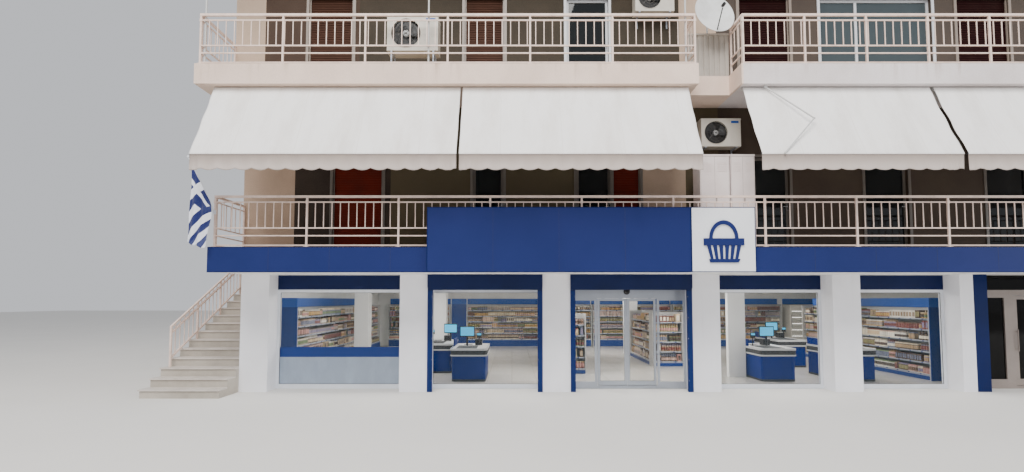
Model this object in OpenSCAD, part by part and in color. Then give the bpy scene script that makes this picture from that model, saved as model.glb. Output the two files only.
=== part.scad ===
// Neighbourhood supermarket on the ground floor of a three-storey concrete building.
// Millimetres, +Z up. X = 0 is the middle of the recess between the two wings,
// Y = 0 the middle of the plan, Z = 0 the ground. The shopfront faces -Y.
// Inside the modules Y = 0 is the face of the front columns; site() moves it to the plan.

/* [Overall] */
// Width of one wing over its walls
wing_w = 9810; // [9400:10:11800]
// Width of the recess between the wings
recess_w = 860; // [600:10:1100]
// Depth of the building behind the column faces
depth = 12000; // [9900:50:14500]
// Ground to first floor
ground_h = 3100; // [2900:10:3800]
// First floor to second floor, and second floor to roof
storey_h = 3700; // [3100:10:4500]
// Height of the roof parapet
parapet_h = 900; // [300:10:1200]

/* [Slabs and walls] */
// Thickness of the first floor slab with its soffit
canopy_t = 500; // [300:5:600]
// Thickness of the second floor slab
slab_t = 415; // [200:5:500]
// Thickness of the roof slab
roof_t = 300; // [200:5:400]
// Thickness of the shop floor
floor_t = 60; // [40:5:100]
// Thickness of front and rear walls
wall_t = 200; // [150:5:300]
// Thickness of side walls
side_t = 250; // [150:5:300]
// Thickness of the parapet
parapet_t = 150; // [100:5:200]
// How far the second floor stands out past the side walls below
second_out = 280; // [0:10:340]
// How far the balconies stand out past the side walls of the second floor
slab_out = 95; // [40:5:120]

/* [Balconies] */
// Depth of the first floor balcony
balcony_1 = 1270; // [900:10:1500]
// Depth of the second floor balconies
balcony_2 = 1450; // [1350:10:1700]
// How far the slab steps back in the recess
recess_step = 650; // [300:10:800]
// Height of a balcony railing
rail_h = 1045; // [900:5:1250]
// Spacing of the balusters
baluster_pitch = 168; // [120:1:200]
// Width of a baluster
baluster_w = 16; // [10:1:24]
// Side of the square handrail
handrail_w = 46; // [30:1:60]
// Side of the thinner rails
rail_w = 24; // [16:1:30]
// Side of the railing posts
post_w = 36; // [24:1:50]
// Railing set back from the slab edge
rail_inset = 40; // [20:1:100]

/* [Shopfront] */
// Width of a column
column_w = 620; // [500:5:750]
// Depth of a column
column_d = 560; // [460:5:680]
// Width of the slim column beside the pilaster
slim_w = 300; // [200:5:400]
// Width of the blue pilaster
pilaster_w = 310; // [200:5:400]
// Clear width of the first bay from the left
bay_1 = 2920; // [2400:10:3500]
// Clear width of the second bay
bay_2 = 2560; // [2100:10:3080]
// Clear width of the third bay, with the sliding doors
bay_3 = 2710; // [2250:10:3260]
// Clear width of the fourth bay
bay_4 = 2520; // [2100:10:3030]
// Clear width of the fifth bay
bay_5 = 2220; // [1850:10:2670]
// Height of the boards between the glazing and the slab
board_h = 340; // [285:5:400]
// Depth of a window frame
frame_d = 80; // [60:1:100]
// Width of a window frame
frame_w = 60; // [40:1:90]
// Height of the bottom rail of a shop window
sill_h = 100; // [60:1:160]
// Thickness of a pane
glass_t = 12; // [8:1:16]
// How far the roller boxes stand out past the columns
box_out = 60; // [20:1:120]
// Width of a roller guide
guide_w = 110; // [80:1:140]

/* [Sliding doors] */
// Height of the door header with its track
header_h = 190; // [150:5:230]
// Width of the frame round a door leaf
leaf_frame = 55; // [40:1:70]
// Thickness of a door leaf
leaf_t = 32; // [24:1:40]
// Gap under and over a leaf
leaf_gap = 8; // [5:0.5:12]

/* [Entrance] */
// Width of the fixed light beside the door
sidelight_w = 840; // [700:10:1010]
// Width of a post of the entrance
entrance_post = 150; // [100:5:180]
// Width of the hinged door leaf
entrance_leaf_w = 950; // [800:5:1140]

/* [Signs] */
// Height of the sign band
band_h = 510; // [400:5:600]
// Thickness of the sign band
band_t = 80; // [50:5:110]
// Thickness of the main sign
sign_t = 180; // [150:5:220]
// Height of the main sign
sign_h = 1295; // [1080:5:1550]
// Left edge of the main sign
sign_x = -5890; // [-6400:10:-5000]
// Width of the main sign
sign_w = 5246; // [4370:2:5900]
// Width of the white square sign
square_w = 1277; // [1000:1:1500]

/* [Openings of the flats] */
// Height of a balcony door
door_h = 2150; // [1900:10:2500]
// Width and height of a rear or side window
window_s = 1200; // [900:10:1440]
// Height of a window sill over its floor
window_sill = 950; // [700:10:1100]
// Pitch of the shutter slats
slat_pitch = 55; // [40:1:66]

/* [Awnings] */
// Drop of the awning from its roller to the front bar
awning_drop = 1550; // [1290:10:1860]
// How far the front bar stands out past the roller
awning_out = 820; // [680:10:980]
// Depth of the scalloped valance
valance_h = 320; // [200:5:400]
// Thickness of the awning cloth
cloth_t = 8; // [5:1:12]
// Radius of the cloth roller
roller_r = 45; // [30:1:55]
// Radius of the front bar
bar_r = 25; // [15:1:32]

/* [Side stair] */
// Width of the stair
stair_w = 1640; // [1200:10:1960]
// Number of risers
risers = 17; // [14:1:20]
// Going of a tread
going = 345; // [288:1:414]
// Length of the landing
landing = 1500; // [1200:10:1800]
// Thickness of the marble treads
tread_t = 30; // [20:1:40]
// Nosing of the marble treads
nosing = 25; // [10:1:35]

/* [Hidden] */

hair = 0.3;
round_fn = 48;

half_w = recess_w / 2 + wing_w;
half_w2 = half_w + second_out;
front = -depth / 2;
soffit = ground_h - canopy_t;
second_z = ground_h + storey_h;
second_soffit = second_z - slab_t;
roof_z = second_z + storey_h;
roof_soffit = roof_z - roof_t;
back_y = depth - wall_t;
glazing_y = column_d - frame_d;
glazing_h = soffit - board_h;

// Left edges of the columns and of the bays between them
col_1 = -half_w;
bay_x1 = col_1 + column_w;
col_2 = bay_x1 + bay_1;
bay_x2 = col_2 + column_w;
col_3 = bay_x2 + bay_2;
bay_x3 = col_3 + column_w;
col_4 = bay_x3 + bay_3;
bay_x4 = col_4 + column_w;
col_5 = bay_x4 + bay_4;
bay_x5 = col_5 + column_w;
col_6 = bay_x5 + bay_5;
pilaster_x = col_6 + slim_w;
bay_x6 = pilaster_x + pilaster_w;
col_7 = half_w - column_w;

// Balcony doors in the front walls: left edge, width, kind
first_doors = [[-8240, 1120, "shutter"], [-5080, 680, "glass"], [-2740, 770, "glass"],
  [-1930, 620, "shutter"], [1120, 940, "glass"], [3760, 970, "glass"],
  [6500, 1000, "glass"], [8150, 1100, "shutter"]];
second_doors = [[-8850, 1010, "shutter"], [-5280, 900, "shutter"], [-2950, 960, "glass"],
  [1000, 1150, "shutter"], [2860, 2560, "wide"], [6000, 1190, "shutter"],
  [8300, 1000, "shutter"]];
wide_mullion = 870;
// Windows in the rear wall, and in the left wall, by their centres as shares of the wall
rear_windows = [-0.75, -0.25, 0.25, 0.75];
side_windows = [0.68, 0.88];
landing_door_w = 900;

module site() { translate([0, front, 0]) children(); }

// Box from its lowest and highest corners
module block(a, b) { translate(a) cube(b - a); }

// Floor, slabs and walls

module shop_floor() {
  site() color("gainsboro")
    block([-half_w + side_t, column_d, 0], [half_w - side_t, back_y, floor_t]);
}

module column(x, w) {
  block([x, 0, 0], [x + w, column_d, soffit]);
}

module front_columns() {
  site() color("aliceblue") {
    for (x = [col_1, col_2, col_3, col_4, col_5, col_7]) column(x, column_w);
    column(col_6, slim_w);
  }
}

module blue_pilaster() {
  site() color("royalblue") column(pilaster_x, pilaster_w);
}

module ground_left_wall() {
  site() color("wheat") block([-half_w, column_d, 0], [-half_w + side_t, back_y, soffit]);
}

module ground_right_wall() {
  site() color("wheat") block([half_w - side_t, column_d, 0], [half_w, back_y, soffit]);
}

module ground_rear_wall() {
  site() color("wheat") block([-half_w, back_y, 0], [half_w, depth, soffit]);
}

balcony_side = 30;
drip_w = 20;
drip_inset = 60;

// Slab with balcony and a drip groove under the balcony edge
module first_floor_slab() {
  side = half_w + balcony_side;
  site() color("beige") difference() {
    union() {
      block([-side, -balcony_1, soffit], [side, 0, ground_h]);
      block([-half_w, 0, soffit], [half_w, depth, ground_h]);
    }
    block([-side - 1, -balcony_1 + drip_inset, soffit - 1],
          [side + 1, -balcony_1 + drip_inset + drip_w, soffit + drip_w / 2]);
  }
}

// Outline of a slab with two balconies and the recess between them
module wing_outline(side) {
  polygon([[-side - slab_out, -balcony_2], [-recess_w / 2, -balcony_2],
    [-recess_w / 2, -balcony_2 + recess_step], [recess_w / 2, -balcony_2 + recess_step],
    [recess_w / 2, -balcony_2], [side + slab_out, -balcony_2], [side + slab_out, 0],
    [side, 0], [side, depth], [-side, depth], [-side, 0], [-side - slab_out, 0]]);
}

module wing_slab(z, t) {
  edge = balcony_2 - drip_inset;
  difference() {
    translate([0, 0, z - t]) linear_extrude(t) wing_outline(half_w2);
    for (s = [-1, 1])
      block([min(s * (recess_w / 2 + drip_inset), s * (half_w2 + slab_out - drip_inset)),
             -edge, z - t - 1],
            [max(s * (recess_w / 2 + drip_inset), s * (half_w2 + slab_out - drip_inset)),
             -edge + drip_w, z - t + drip_w / 2]);
  }
}

module second_floor_slab() { site() color("tan") wing_slab(second_z, slab_t); }

module roof_slab() { site() color("tan") wing_slab(roof_z, roof_t); }

module parapet() {
  cap = 30;
  site() color("tan") difference() {
    union() {
      block([-half_w2, 0, roof_z], [half_w2, depth, roof_z + parapet_h - 2 * cap]);
      block([-half_w2 - cap, -cap, roof_z + parapet_h - 2 * cap],
            [half_w2 + cap, depth + cap, roof_z + parapet_h]);
    }
    block([-half_w2 + parapet_t, parapet_t, roof_z - 1],
          [half_w2 - parapet_t, depth - parapet_t, roof_z + parapet_h + 1]);
  }
}

// Front wall with door openings cut through
module front_wall(side, z0, z1, doors) {
  difference() {
    block([-side, 0, z0], [side, wall_t, z1]);
    for (d = doors) block([d[0], -1, z0 - 1], [d[0] + d[1], wall_t + 1, z0 + door_h]);
  }
}

module rear_wall(side, z0, z1) {
  difference() {
    block([-side, back_y, z0], [side, depth, z1]);
    for (s = rear_windows)
      block([s * half_w - window_s / 2, back_y - 1, z0 + window_sill],
            [s * half_w + window_s / 2, depth + 1, z0 + window_sill + window_s]);
  }
}

module left_wall(side, z0, z1) {
  difference() {
    block([-side, wall_t, z0], [-side + side_t, back_y, z1]);
    for (s = side_windows)
      block([-side - 1, s * depth - window_s / 2, z0 + window_sill],
            [-side + side_t + 1, s * depth + window_s / 2, z0 + window_sill + window_s]);
  }
}

stair_y0 = -835;
landing_y = stair_y0 + (risers - 1) * going;
landing_door_y = landing_y + (landing - landing_door_w) / 2;

module first_front_wall() {
  site() color("burlywood") front_wall(half_w, ground_h, second_soffit, first_doors);
}

module first_rear_wall() {
  site() color("wheat") rear_wall(half_w, ground_h, second_soffit);
}

module first_left_wall() {
  site() color("wheat") difference() {
    left_wall(half_w, ground_h, second_soffit);
    block([-half_w - 1, landing_door_y, ground_h - 1],
          [-half_w + side_t + 1, landing_door_y + landing_door_w, ground_h + door_h]);
  }
}

module first_right_wall() {
  site() color("wheat")
    block([half_w - side_t, wall_t, ground_h], [half_w, back_y, second_soffit]);
}

module second_front_wall() {
  site() color("burlywood") front_wall(half_w2, second_z, roof_soffit, second_doors);
}

module second_rear_wall() {
  site() color("wheat") rear_wall(half_w2, second_z, roof_soffit);
}

module second_left_wall() {
  site() color("wheat") left_wall(half_w2, second_z, roof_soffit);
}

module second_right_wall() {
  site() color("wheat")
    block([half_w2 - side_t, wall_t, second_z], [half_w2, back_y, roof_soffit]);
}

// Shopfront

// Frame in the plane of the front: outer box less its panes
module front_frame(x, w, z0, z1, y, d, fw, bottom, mullions = []) {
  xs = concat([x + fw], [for (m = mullions) x + m + fw / 2]);
  xe = concat([for (m = mullions) x + m - fw / 2], [x + w - fw]);
  difference() {
    block([x, y, z0], [x + w, y + d, z1]);
    for (i = [0 : len(xs) - 1])
      block([xs[i], y - 1, z0 + bottom], [xe[i], y + d + 1, z1 - fw]);
  }
}

// Panes that fill such a frame
module front_panes(x, w, z0, z1, y, fw, bottom, mullions = [], t = glass_t) {
  xs = concat([x + fw], [for (m = mullions) x + m + fw / 2]);
  xe = concat([for (m = mullions) x + m - fw / 2], [x + w - fw]);
  for (i = [0 : len(xs) - 1])
    block([xs[i], y, z0 + bottom], [xe[i], y + t, z1 - fw]);
}

shop_bays = [[bay_x1, bay_1], [bay_x2, bay_2], [bay_x4, bay_4], [bay_x5, bay_5]];
pane_y = glazing_y + (frame_d - glass_t) / 2;

module shop_frames() {
  site() color("white")
    for (b = shop_bays)
      front_frame(b[0], b[1], 0, glazing_h, glazing_y, frame_d, frame_w, sill_h);
}

module shop_glass() {
  site() color("powderblue") {
    for (b = shop_bays)
      front_panes(b[0], b[1], 0, glazing_h, pane_y, frame_w, sill_h);
    for (x = [bay_x3, bay_x3 + bay_3 - fixed_w])
      front_panes(x, fixed_w, floor_t, door_top, fixed_y + (leaf_t - glass_t) / 2, leaf_frame,
                  sill_h);
  }
}

panel_t = 60;

module header_panels() {
  site() color("midnightblue")
    for (b = [shop_bays[0], shop_bays[2], shop_bays[3]])
      block([b[0], glazing_y, glazing_h], [b[0] + b[1], glazing_y + panel_t, soffit]);
}

box_d = 300;
box_drop = 345;
box_r = 60;
guide_d = 80;
guide_out = 20;
box_z = soffit - box_drop;

// Roller box over a bay, rounded at its lower corners, with its two guides down to the ground
module roller_box(x, w) {
  translate([x, box_d - box_out, box_z]) rotate([90, 0, 0]) linear_extrude(box_d) {
    polygon([[0, box_r], [w, box_r], [w, box_drop], [0, box_drop]]);
    polygon([[box_r, 0], [w - box_r, 0], [w - box_r, box_r], [box_r, box_r]]);
    for (cx = [box_r, w - box_r]) translate([cx, box_r]) circle(r = box_r, $fn = round_fn);
  }
  for (gx = [x, x + w - guide_w])
    block([gx, -guide_out, 0], [gx + guide_w, guide_d - guide_out, box_z + box_r]);
}

module roller_boxes() {
  site() color("midnightblue") {
    roller_box(bay_x2, bay_2);
    roller_box(bay_x3, bay_3);
    for (b = [[bay_x2, bay_2], [bay_x3, bay_3]])
      block([b[0], box_d - box_out, glazing_h], [b[0] + b[1], glazing_y + frame_d, soffit]);
  }
}

// Sliding doors: two fixed lights and two leaves that hang from a track in the header
door_top = glazing_h - header_h;
fixed_w = (bay_3 - 60) / 4;
leaf_x = bay_x3 + fixed_w + 2 * leaf_gap;
leaf_total = bay_3 - 2 * fixed_w - 4 * leaf_gap;
leaf_w = (leaf_total - leaf_gap) / 2;
fixed_y = glazing_y;
leaf_y = glazing_y + leaf_t + leaf_gap;
header_d = 150;
track_w = 50;
track_h = 90;
slot_w = 22;
lip_t = 14;
track_y = leaf_y + leaf_t / 2;

module sliding_door_frame() {
  site() color("gainsboro") {
    difference() {
      block([bay_x3, glazing_y, door_top], [bay_x3 + bay_3, glazing_y + header_d, glazing_h]);
      block([bay_x3 + leaf_gap, track_y - track_w / 2, door_top + lip_t],
            [bay_x3 + bay_3 - leaf_gap, track_y + track_w / 2, door_top + track_h]);
      block([bay_x3 + leaf_gap, track_y - slot_w / 2, door_top - 1],
            [bay_x3 + bay_3 - leaf_gap, track_y + slot_w / 2, door_top + track_h]);
    }
    for (x = [bay_x3, bay_x3 + bay_3 - fixed_w])
      front_frame(x, fixed_w, floor_t, door_top, fixed_y, leaf_t, leaf_frame, sill_h);
    block([bay_x3, glazing_y, 0], [bay_x3 + bay_3, column_d, floor_t]);
  }
}

hanger_l = 70;
hanger_t = 12;
wheel_h = 34;

// Leaf frame with two hangers whose heads run on the lips of the track
module door_leaf(x) {
  front_frame(x, leaf_w, floor_t + leaf_gap, door_top - leaf_gap, leaf_y, leaf_t, leaf_frame, sill_h);
  for (hx = [x + leaf_w * 0.2, x + leaf_w * 0.8]) {
    block([hx - hanger_l / 2, track_y - hanger_t / 2, door_top - leaf_gap],
          [hx + hanger_l / 2, track_y + hanger_t / 2, door_top + lip_t + hair + 2]);
    block([hx - hanger_l / 2, track_y - (track_w - 12) / 2, door_top + lip_t + hair],
          [hx + hanger_l / 2, track_y + (track_w - 12) / 2, door_top + lip_t + hair + wheel_h]);
  }
}

left_leaf_x = leaf_x;
right_leaf_x = leaf_x + leaf_total - leaf_w;

module left_door_leaf() { site() color("gainsboro") door_leaf(left_leaf_x); }

module right_door_leaf() { site() color("gainsboro") door_leaf(right_leaf_x); }

module leaf_pane(x) {
  front_panes(x, leaf_w, floor_t + leaf_gap, door_top - leaf_gap, leaf_y + (leaf_t - glass_t) / 2,
              leaf_frame, sill_h);
}

module left_door_glass() { site() color("powderblue") leaf_pane(left_leaf_x); }

module right_door_glass() { site() color("powderblue") leaf_pane(right_leaf_x); }

// Entrance to the flats: sidelight, post, hinged leaf, post, sidelight
entrance_head = 120;
entrance_rail = 150;
entrance_stile = 90;
entrance_top = glazing_h - entrance_head;
hinge_gap = 30;
hinge_r = 12;
entrance_leaf_t = 44;
entrance_y = glazing_y + frame_d / 2;
post_1 = bay_x6 + sidelight_w;
door_x = post_1 + entrance_post;
leaf_x0 = door_x + leaf_gap;
hinge_x = leaf_x0 + entrance_leaf_w;
post_2 = hinge_x + hinge_gap;
light_2 = post_2 + entrance_post;
sidelights = [[bay_x6, sidelight_w], [light_2, col_7 - light_2]];
leaf_z0 = floor_t + leaf_gap;
leaf_z1 = entrance_top - leaf_gap;

module entrance_frame() {
  site() color("dimgray") {
    block([bay_x6, glazing_y, entrance_top], [col_7, column_d, glazing_h]);
    block([bay_x6, glazing_y, 0], [col_7, column_d, floor_t]);
    for (s = sidelights)
      front_frame(s[0], s[1], floor_t, entrance_top, glazing_y, frame_d, frame_w, entrance_rail);
    for (x = [post_1, post_2])
      block([x, glazing_y, floor_t], [x + entrance_post, column_d, entrance_top]);
    for (x = [bay_x6, col_7 - frame_w])
      block([x, glazing_y, glazing_h], [x + frame_w, column_d, soffit]);
    // pivots under and over the barrel of the leaf
    for (z = [floor_t, leaf_z1])
      translate([hinge_x, entrance_y, z]) cylinder(r = hinge_r, h = leaf_gap, $fn = round_fn);
  }
}

module entrance_glass() {
  site() color("slategray") {
    for (s = sidelights)
      front_panes(s[0], s[1], floor_t, entrance_top, pane_y, frame_w, entrance_rail);
    block([bay_x6 + frame_w, pane_y, glazing_h], [col_7 - frame_w, pane_y + glass_t, soffit]);
  }
}

handle_z = 850;
handle_l = 500;
handle_r = 14;
handle_out = 50;

module entrance_leaf() {
  y0 = entrance_y - entrance_leaf_t / 2;
  x = leaf_x0 + entrance_stile / 2;
  site() color("dimgray") {
    front_frame(leaf_x0, entrance_leaf_w, leaf_z0 + hair, leaf_z1 - hair, y0,
                entrance_leaf_t, entrance_stile, entrance_rail);
    translate([hinge_x, entrance_y, leaf_z0 + hair])
      cylinder(r = hinge_r, h = leaf_z1 - leaf_z0 - 2 * hair, $fn = round_fn);
    for (z = [handle_z + 50, handle_z + handle_l - 50])
      translate([x, y0 + 1, z]) rotate([90, 0, 0]) cylinder(r = 8, h = handle_out, $fn = 24);
    translate([x, y0 - handle_out, handle_z]) cylinder(r = handle_r, h = handle_l, $fn = 24);
  }
}

module entrance_leaf_glass() {
  site() color("slategray")
    front_panes(leaf_x0, entrance_leaf_w, leaf_z0 + hair, leaf_z1 - hair, pane_y,
                entrance_stile, entrance_rail);
}

// Signs

sign_z = soffit - 20;
band_over = 20;
square_x = sign_x + sign_w;

module sign_bands() {
  z1 = sign_z + band_h;
  ends = half_w + balcony_side + band_over;
  site() color("steelblue") {
    block([-ends, -balcony_1 - band_t, sign_z], [sign_x, -balcony_1, z1]);
    block([square_x + square_w, -balcony_1 - band_t, sign_z], [ends, -balcony_1, z1]);
  }
}

module main_sign() {
  site() color("steelblue")
    block([sign_x, -balcony_1 - sign_t, sign_z], [square_x, -balcony_1, sign_z + sign_h]);
}

module square_sign() {
  site() color("white")
    block([square_x, -balcony_1 - sign_t, sign_z],
          [square_x + square_w, -balcony_1, sign_z + sign_h]);
}

// Railings. A run lies along X from x0 to x1 with its middle line on Y = 0 and the floor at Z = 0.

rail_2 = 0.86;
rail_3 = 0.355;
rail_4 = 0.205;
base_z = 20;

module railing_run(l, posts) {
  top = rail_h - handrail_w;
  second = rail_h * rail_2;
  third = rail_h * rail_3;
  fourth = rail_h * rail_4;
  block([0, -handrail_w / 2, top], [l, handrail_w / 2, rail_h]);
  for (z = [second, third, fourth, base_z])
    block([0, -rail_w / 2, z], [l, rail_w / 2, z + rail_w]);
  span = (l - post_w) / posts;
  for (i = [0 : posts])
    translate([i * span, -post_w / 2, 0]) cube([post_w, post_w, top + 1]);
  count = floor((l - post_w) / baluster_pitch);
  step = (l - post_w) / count;
  for (i = [1 : count - 1])
    translate([post_w / 2 + i * step - baluster_w / 2, -baluster_w / 2, third])
      cube([baluster_w, baluster_w, second - third + 1]);
}

module first_railing() {
  x1 = half_w + balcony_side - rail_inset;
  y = -balcony_1 + rail_inset;
  site() color("linen") {
    translate([-x1, y, ground_h]) railing_run(2 * x1, 11);
    for (s = [-1, 1])
      translate([s * (x1 - post_w / 2), y + handrail_w / 2 + hair, ground_h])
        rotate([0, 0, 90]) railing_run(balcony_1 - rail_inset - handrail_w / 2 - hair, 1);
  }
}

// The right wing's posts stand closer together than the left wing's
module wing_railing(spans) {
  x0 = recess_w / 2 + rail_inset;
  x1 = half_w2 + post_w / 2;
  y = -balcony_2 + rail_inset;
  return_y = y + handrail_w / 2 + hair;
  translate([x0, y, second_z]) railing_run(x1 - x0, spans);
  translate([x1 - post_w / 2, return_y, second_z])
    rotate([0, 0, 90]) railing_run(-return_y, 1);
  translate([x0 + post_w / 2, return_y, second_z])
    rotate([0, 0, 90]) railing_run(recess_step - rail_inset, 1);
}

module second_railing_right() { site() color("linen") wing_railing(8); }

module second_railing_left() { site() color("linen") mirror([1, 0, 0]) wing_railing(6); }

screen_h = 900;
screen_t = 30;

// Ribbed sheet screen that closes the recess balcony
module recess_screen() {
  y = -balcony_2 + recess_step + rail_inset;
  ribs = 8;
  w = recess_w + 2 * rail_inset - post_w;
  site() color("darkseagreen") translate([-w / 2, y, second_z]) {
    block([0, 0, 0], [w, screen_t / 2, screen_h]);
    for (i = [0 : ribs - 1])
      block([(i + 0.25) * w / ribs, -screen_t / 2, 0],
            [(i + 0.75) * w / ribs, 1, screen_h]);
    block([0, -screen_t, screen_h], [w, screen_t, screen_h + 40]);
  }
}

// Shutters, windows and doors of the flats

shutter_y = 60;
shutter_t = 40;

// Curtain of slats, each leaning out at its foot
module slat_curtain(x, w, z, h) {
  count = round(h / slat_pitch);
  p = h / count;
  lean = 12;
  translate([x, shutter_y, z]) rotate([90, 0, 90]) linear_extrude(w)
    polygon(concat([[shutter_t, 0], [shutter_t, h]],
      [for (i = [count - 1 : -1 : 0], k = [1, 0]) [k == 1 ? lean : 0, (i + k) * p]]));
}

module roller_shutters() {
  site() color("saddlebrown") {
    for (d = first_doors) if (d[2] == "shutter") slat_curtain(d[0], d[1], ground_h, door_h);
    for (d = second_doors) if (d[2] == "shutter") slat_curtain(d[0], d[1], second_z, door_h);
  }
}

flat_frame_y = 80;
flat_frame_d = 60;
flat_frame_w = 55;
flat_pane_y = flat_frame_y + (flat_frame_d - glass_t) / 2;
fl = flat_frame_w;
casing_w = 60;
casing_t = 18;

module frames_of(doors, z) {
  for (d = doors)
    if (d[2] != "shutter")
      front_frame(d[0], d[1], z, z + door_h, flat_frame_y, flat_frame_d, fl, 2 * fl,
                  d[2] == "wide" ? [wide_mullion] : []);
}

module panes_of(doors, z) {
  for (d = doors)
    if (d[2] != "shutter")
      front_panes(d[0], d[1], z, z + door_h, flat_pane_y, fl, 2 * fl,
                  d[2] == "wide" ? [wide_mullion] : []);
}

// Three-sided casing on the wall round every balcony door
module casings_of(doors, z) {
  for (d = doors) translate([d[0], 0, z]) rotate([90, 0, 0]) linear_extrude(casing_t)
    polygon([[-casing_w, 0], [0, 0], [0, door_h], [d[1], door_h], [d[1], 0], [d[1] + casing_w, 0],
      [d[1] + casing_w, door_h + casing_w], [-casing_w, door_h + casing_w]]);
}

// Children are placed in every rear window, then every side window, facing -Y
module at_windows() {
  for (z = [ground_h, second_z], s = rear_windows)
    translate([s * half_w, depth, z + window_sill]) rotate([0, 0, 180]) children();
  for (l = [[half_w, ground_h], [half_w2, second_z]], s = side_windows)
    translate([-l[0], s * depth, l[1] + window_sill]) rotate([0, 0, -90]) children();
}

module window_frames() {
  site() color("whitesmoke") {
    frames_of(first_doors, ground_h);
    frames_of(second_doors, second_z);
    casings_of(first_doors, ground_h);
    casings_of(second_doors, second_z);
    at_windows()
      front_frame(-window_s / 2, window_s, 0, window_s, flat_frame_y, flat_frame_d, fl, fl,
                  [window_s / 2]);
    translate([-half_w, landing_door_y + landing_door_w / 2, ground_h]) rotate([0, 0, -90])
      front_frame(-landing_door_w / 2, landing_door_w, 0, door_h, flat_frame_y,
                  flat_frame_d, fl, 4 * fl);
  }
}

module window_glass() {
  site() color("darkslategray") {
    panes_of(first_doors, ground_h);
    panes_of(second_doors, second_z);
    at_windows()
      front_panes(-window_s / 2, window_s, 0, window_s, flat_pane_y, fl, fl, [window_s / 2]);
    translate([-half_w, landing_door_y + landing_door_w / 2, ground_h]) rotate([0, 0, -90])
      front_panes(-landing_door_w / 2, landing_door_w, 0, door_h, flat_pane_y, fl, 4 * fl);
  }
}

// Awnings: left edge and width of each
awnings = [[-10280, 5030], [-5200, 4600], [510, 3810], [4400, 5880]];
roller_y = -1250;
plate_t = 10;
roller_z = second_soffit - roller_r - 2;
bar_y = roller_y - awning_out;
bar_z = roller_z - awning_drop;
fall = [bar_y - roller_y, bar_z - roller_z];
fall_l = norm(fall);
lean = asin((roller_r - bar_r) / fall_l);
// Unit vector square to the cloth, outwards: it touches roller and bar along this direction
cloth_n = cos(lean) * [fall[1], -fall[0]] / fall_l + sin(lean) * fall / fall_l;
cloth_a = atan2(cloth_n[1], cloth_n[0]);

// Points of the cloth at a distance past roller and bar, from the roller to the hem
function cloth_side(g) = [
  [roller_y, roller_z] + (roller_r + g) * cloth_n,
  for (k = [0 : 3])
    let (a = cloth_a + (180 - cloth_a) * k / 3)
      [bar_y, bar_z] + (bar_r + g) * [cos(a), sin(a)],
  [bar_y - bar_r - g, bar_z - valance_h]];

function backwards(v) = [for (i = [len(v) - 1 : -1 : 0]) v[i]];

module awning_cloth() {
  site() color("ivory")
    for (a = awnings)
      translate([a[0], 0, 0]) rotate([90, 0, 90]) linear_extrude(a[1])
        polygon(concat(cloth_side(hair), backwards(cloth_side(hair + cloth_t))));
}

module rod(a, b, r) {
  d = b - a;
  l = norm(d);
  translate(a) rotate([0, acos(d[2] / l), atan2(d[1], d[0])]) cylinder(r = r, h = l, $fn = 20);
}

arm_r = 14;
arm_in = 120;
arm_back = 90;

// Straight arm behind the cloth, from its bracket under the slab down to the front bar
module awning_arm() {
  top = [roller_y + arm_back, roller_z];
  foot = bar_y + bar_r + hair;
  translate([-arm_r, 0, 0]) rotate([90, 0, 90]) linear_extrude(2 * arm_r)
    polygon([[foot, bar_z - arm_r], [foot + 2 * arm_r, bar_z - arm_r], top + [arm_r, 0],
      [top[0] + arm_r, second_soffit], [top[0] - arm_r, second_soffit], top - [arm_r, 0],
      [foot, bar_z + 2 * arm_r]]);
}

// Roller between two end plates, front bar and two arms
module awning_metal(x, w) {
  translate([x, roller_y, roller_z]) rotate([0, 90, 0])
    cylinder(r = roller_r, h = w, $fn = round_fn);
  for (px = [x, x + w - plate_t])
    block([px, roller_y - plate_t, roller_z], [px + plate_t, roller_y + plate_t, second_soffit]);
  translate([x, bar_y, bar_z]) rotate([0, 90, 0]) cylinder(r = bar_r, h = w, $fn = round_fn);
  for (px = [x + arm_in, x + w - arm_in]) translate([px, 0, 0]) awning_arm();
}

// Folding arm in front of the third awning
knuckle_r = 22;
elbow_a = [945, roller_y - 110, second_soffit - 40];
elbow_b = [1670, roller_y - 560, second_soffit - 830];
elbow_c = [930, bar_y - bar_r - cloth_t - 3 * hair - knuckle_r, bar_z];

// Thin posts behind the second floor railing, up to the slab above
guide_posts = [-10450, -5900, -660];
guide_r = 18;

module awning_hardware() {
  site() color("lightgray") {
    for (a = awnings) awning_metal(a[0], a[1]);
    rod(elbow_a, elbow_b, arm_r);
    rod(elbow_b, elbow_c, arm_r);
    for (k = [elbow_b, elbow_c]) translate(k) sphere(r = knuckle_r, $fn = 24);
    block(elbow_a - [25, 25, 20], [elbow_a[0] + 25, elbow_a[1] + 25, second_soffit]);
    for (x = guide_posts)
      translate([x, -balcony_2 + rail_inset + handrail_w / 2 + guide_r + 2, second_z])
        cylinder(r = guide_r, h = roof_soffit - second_z, $fn = 24);
  }
}

// Cooling units: lower left front corner, and size
units = [[[-6800, -1150, second_z + 400], [1060, 380, 750]],
  [[-1440, -330, second_z + 1680], [870, 320, 620]],
  [[-20, -330, ground_h + 2310], [870, 320, 620]]];
foot_w = 30;
foot_in = 80;
fan_share = 0.41;
fan_side = 0.37;
fan_depth = 60;
guard_w = 6;
guard_t = 8;

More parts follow.
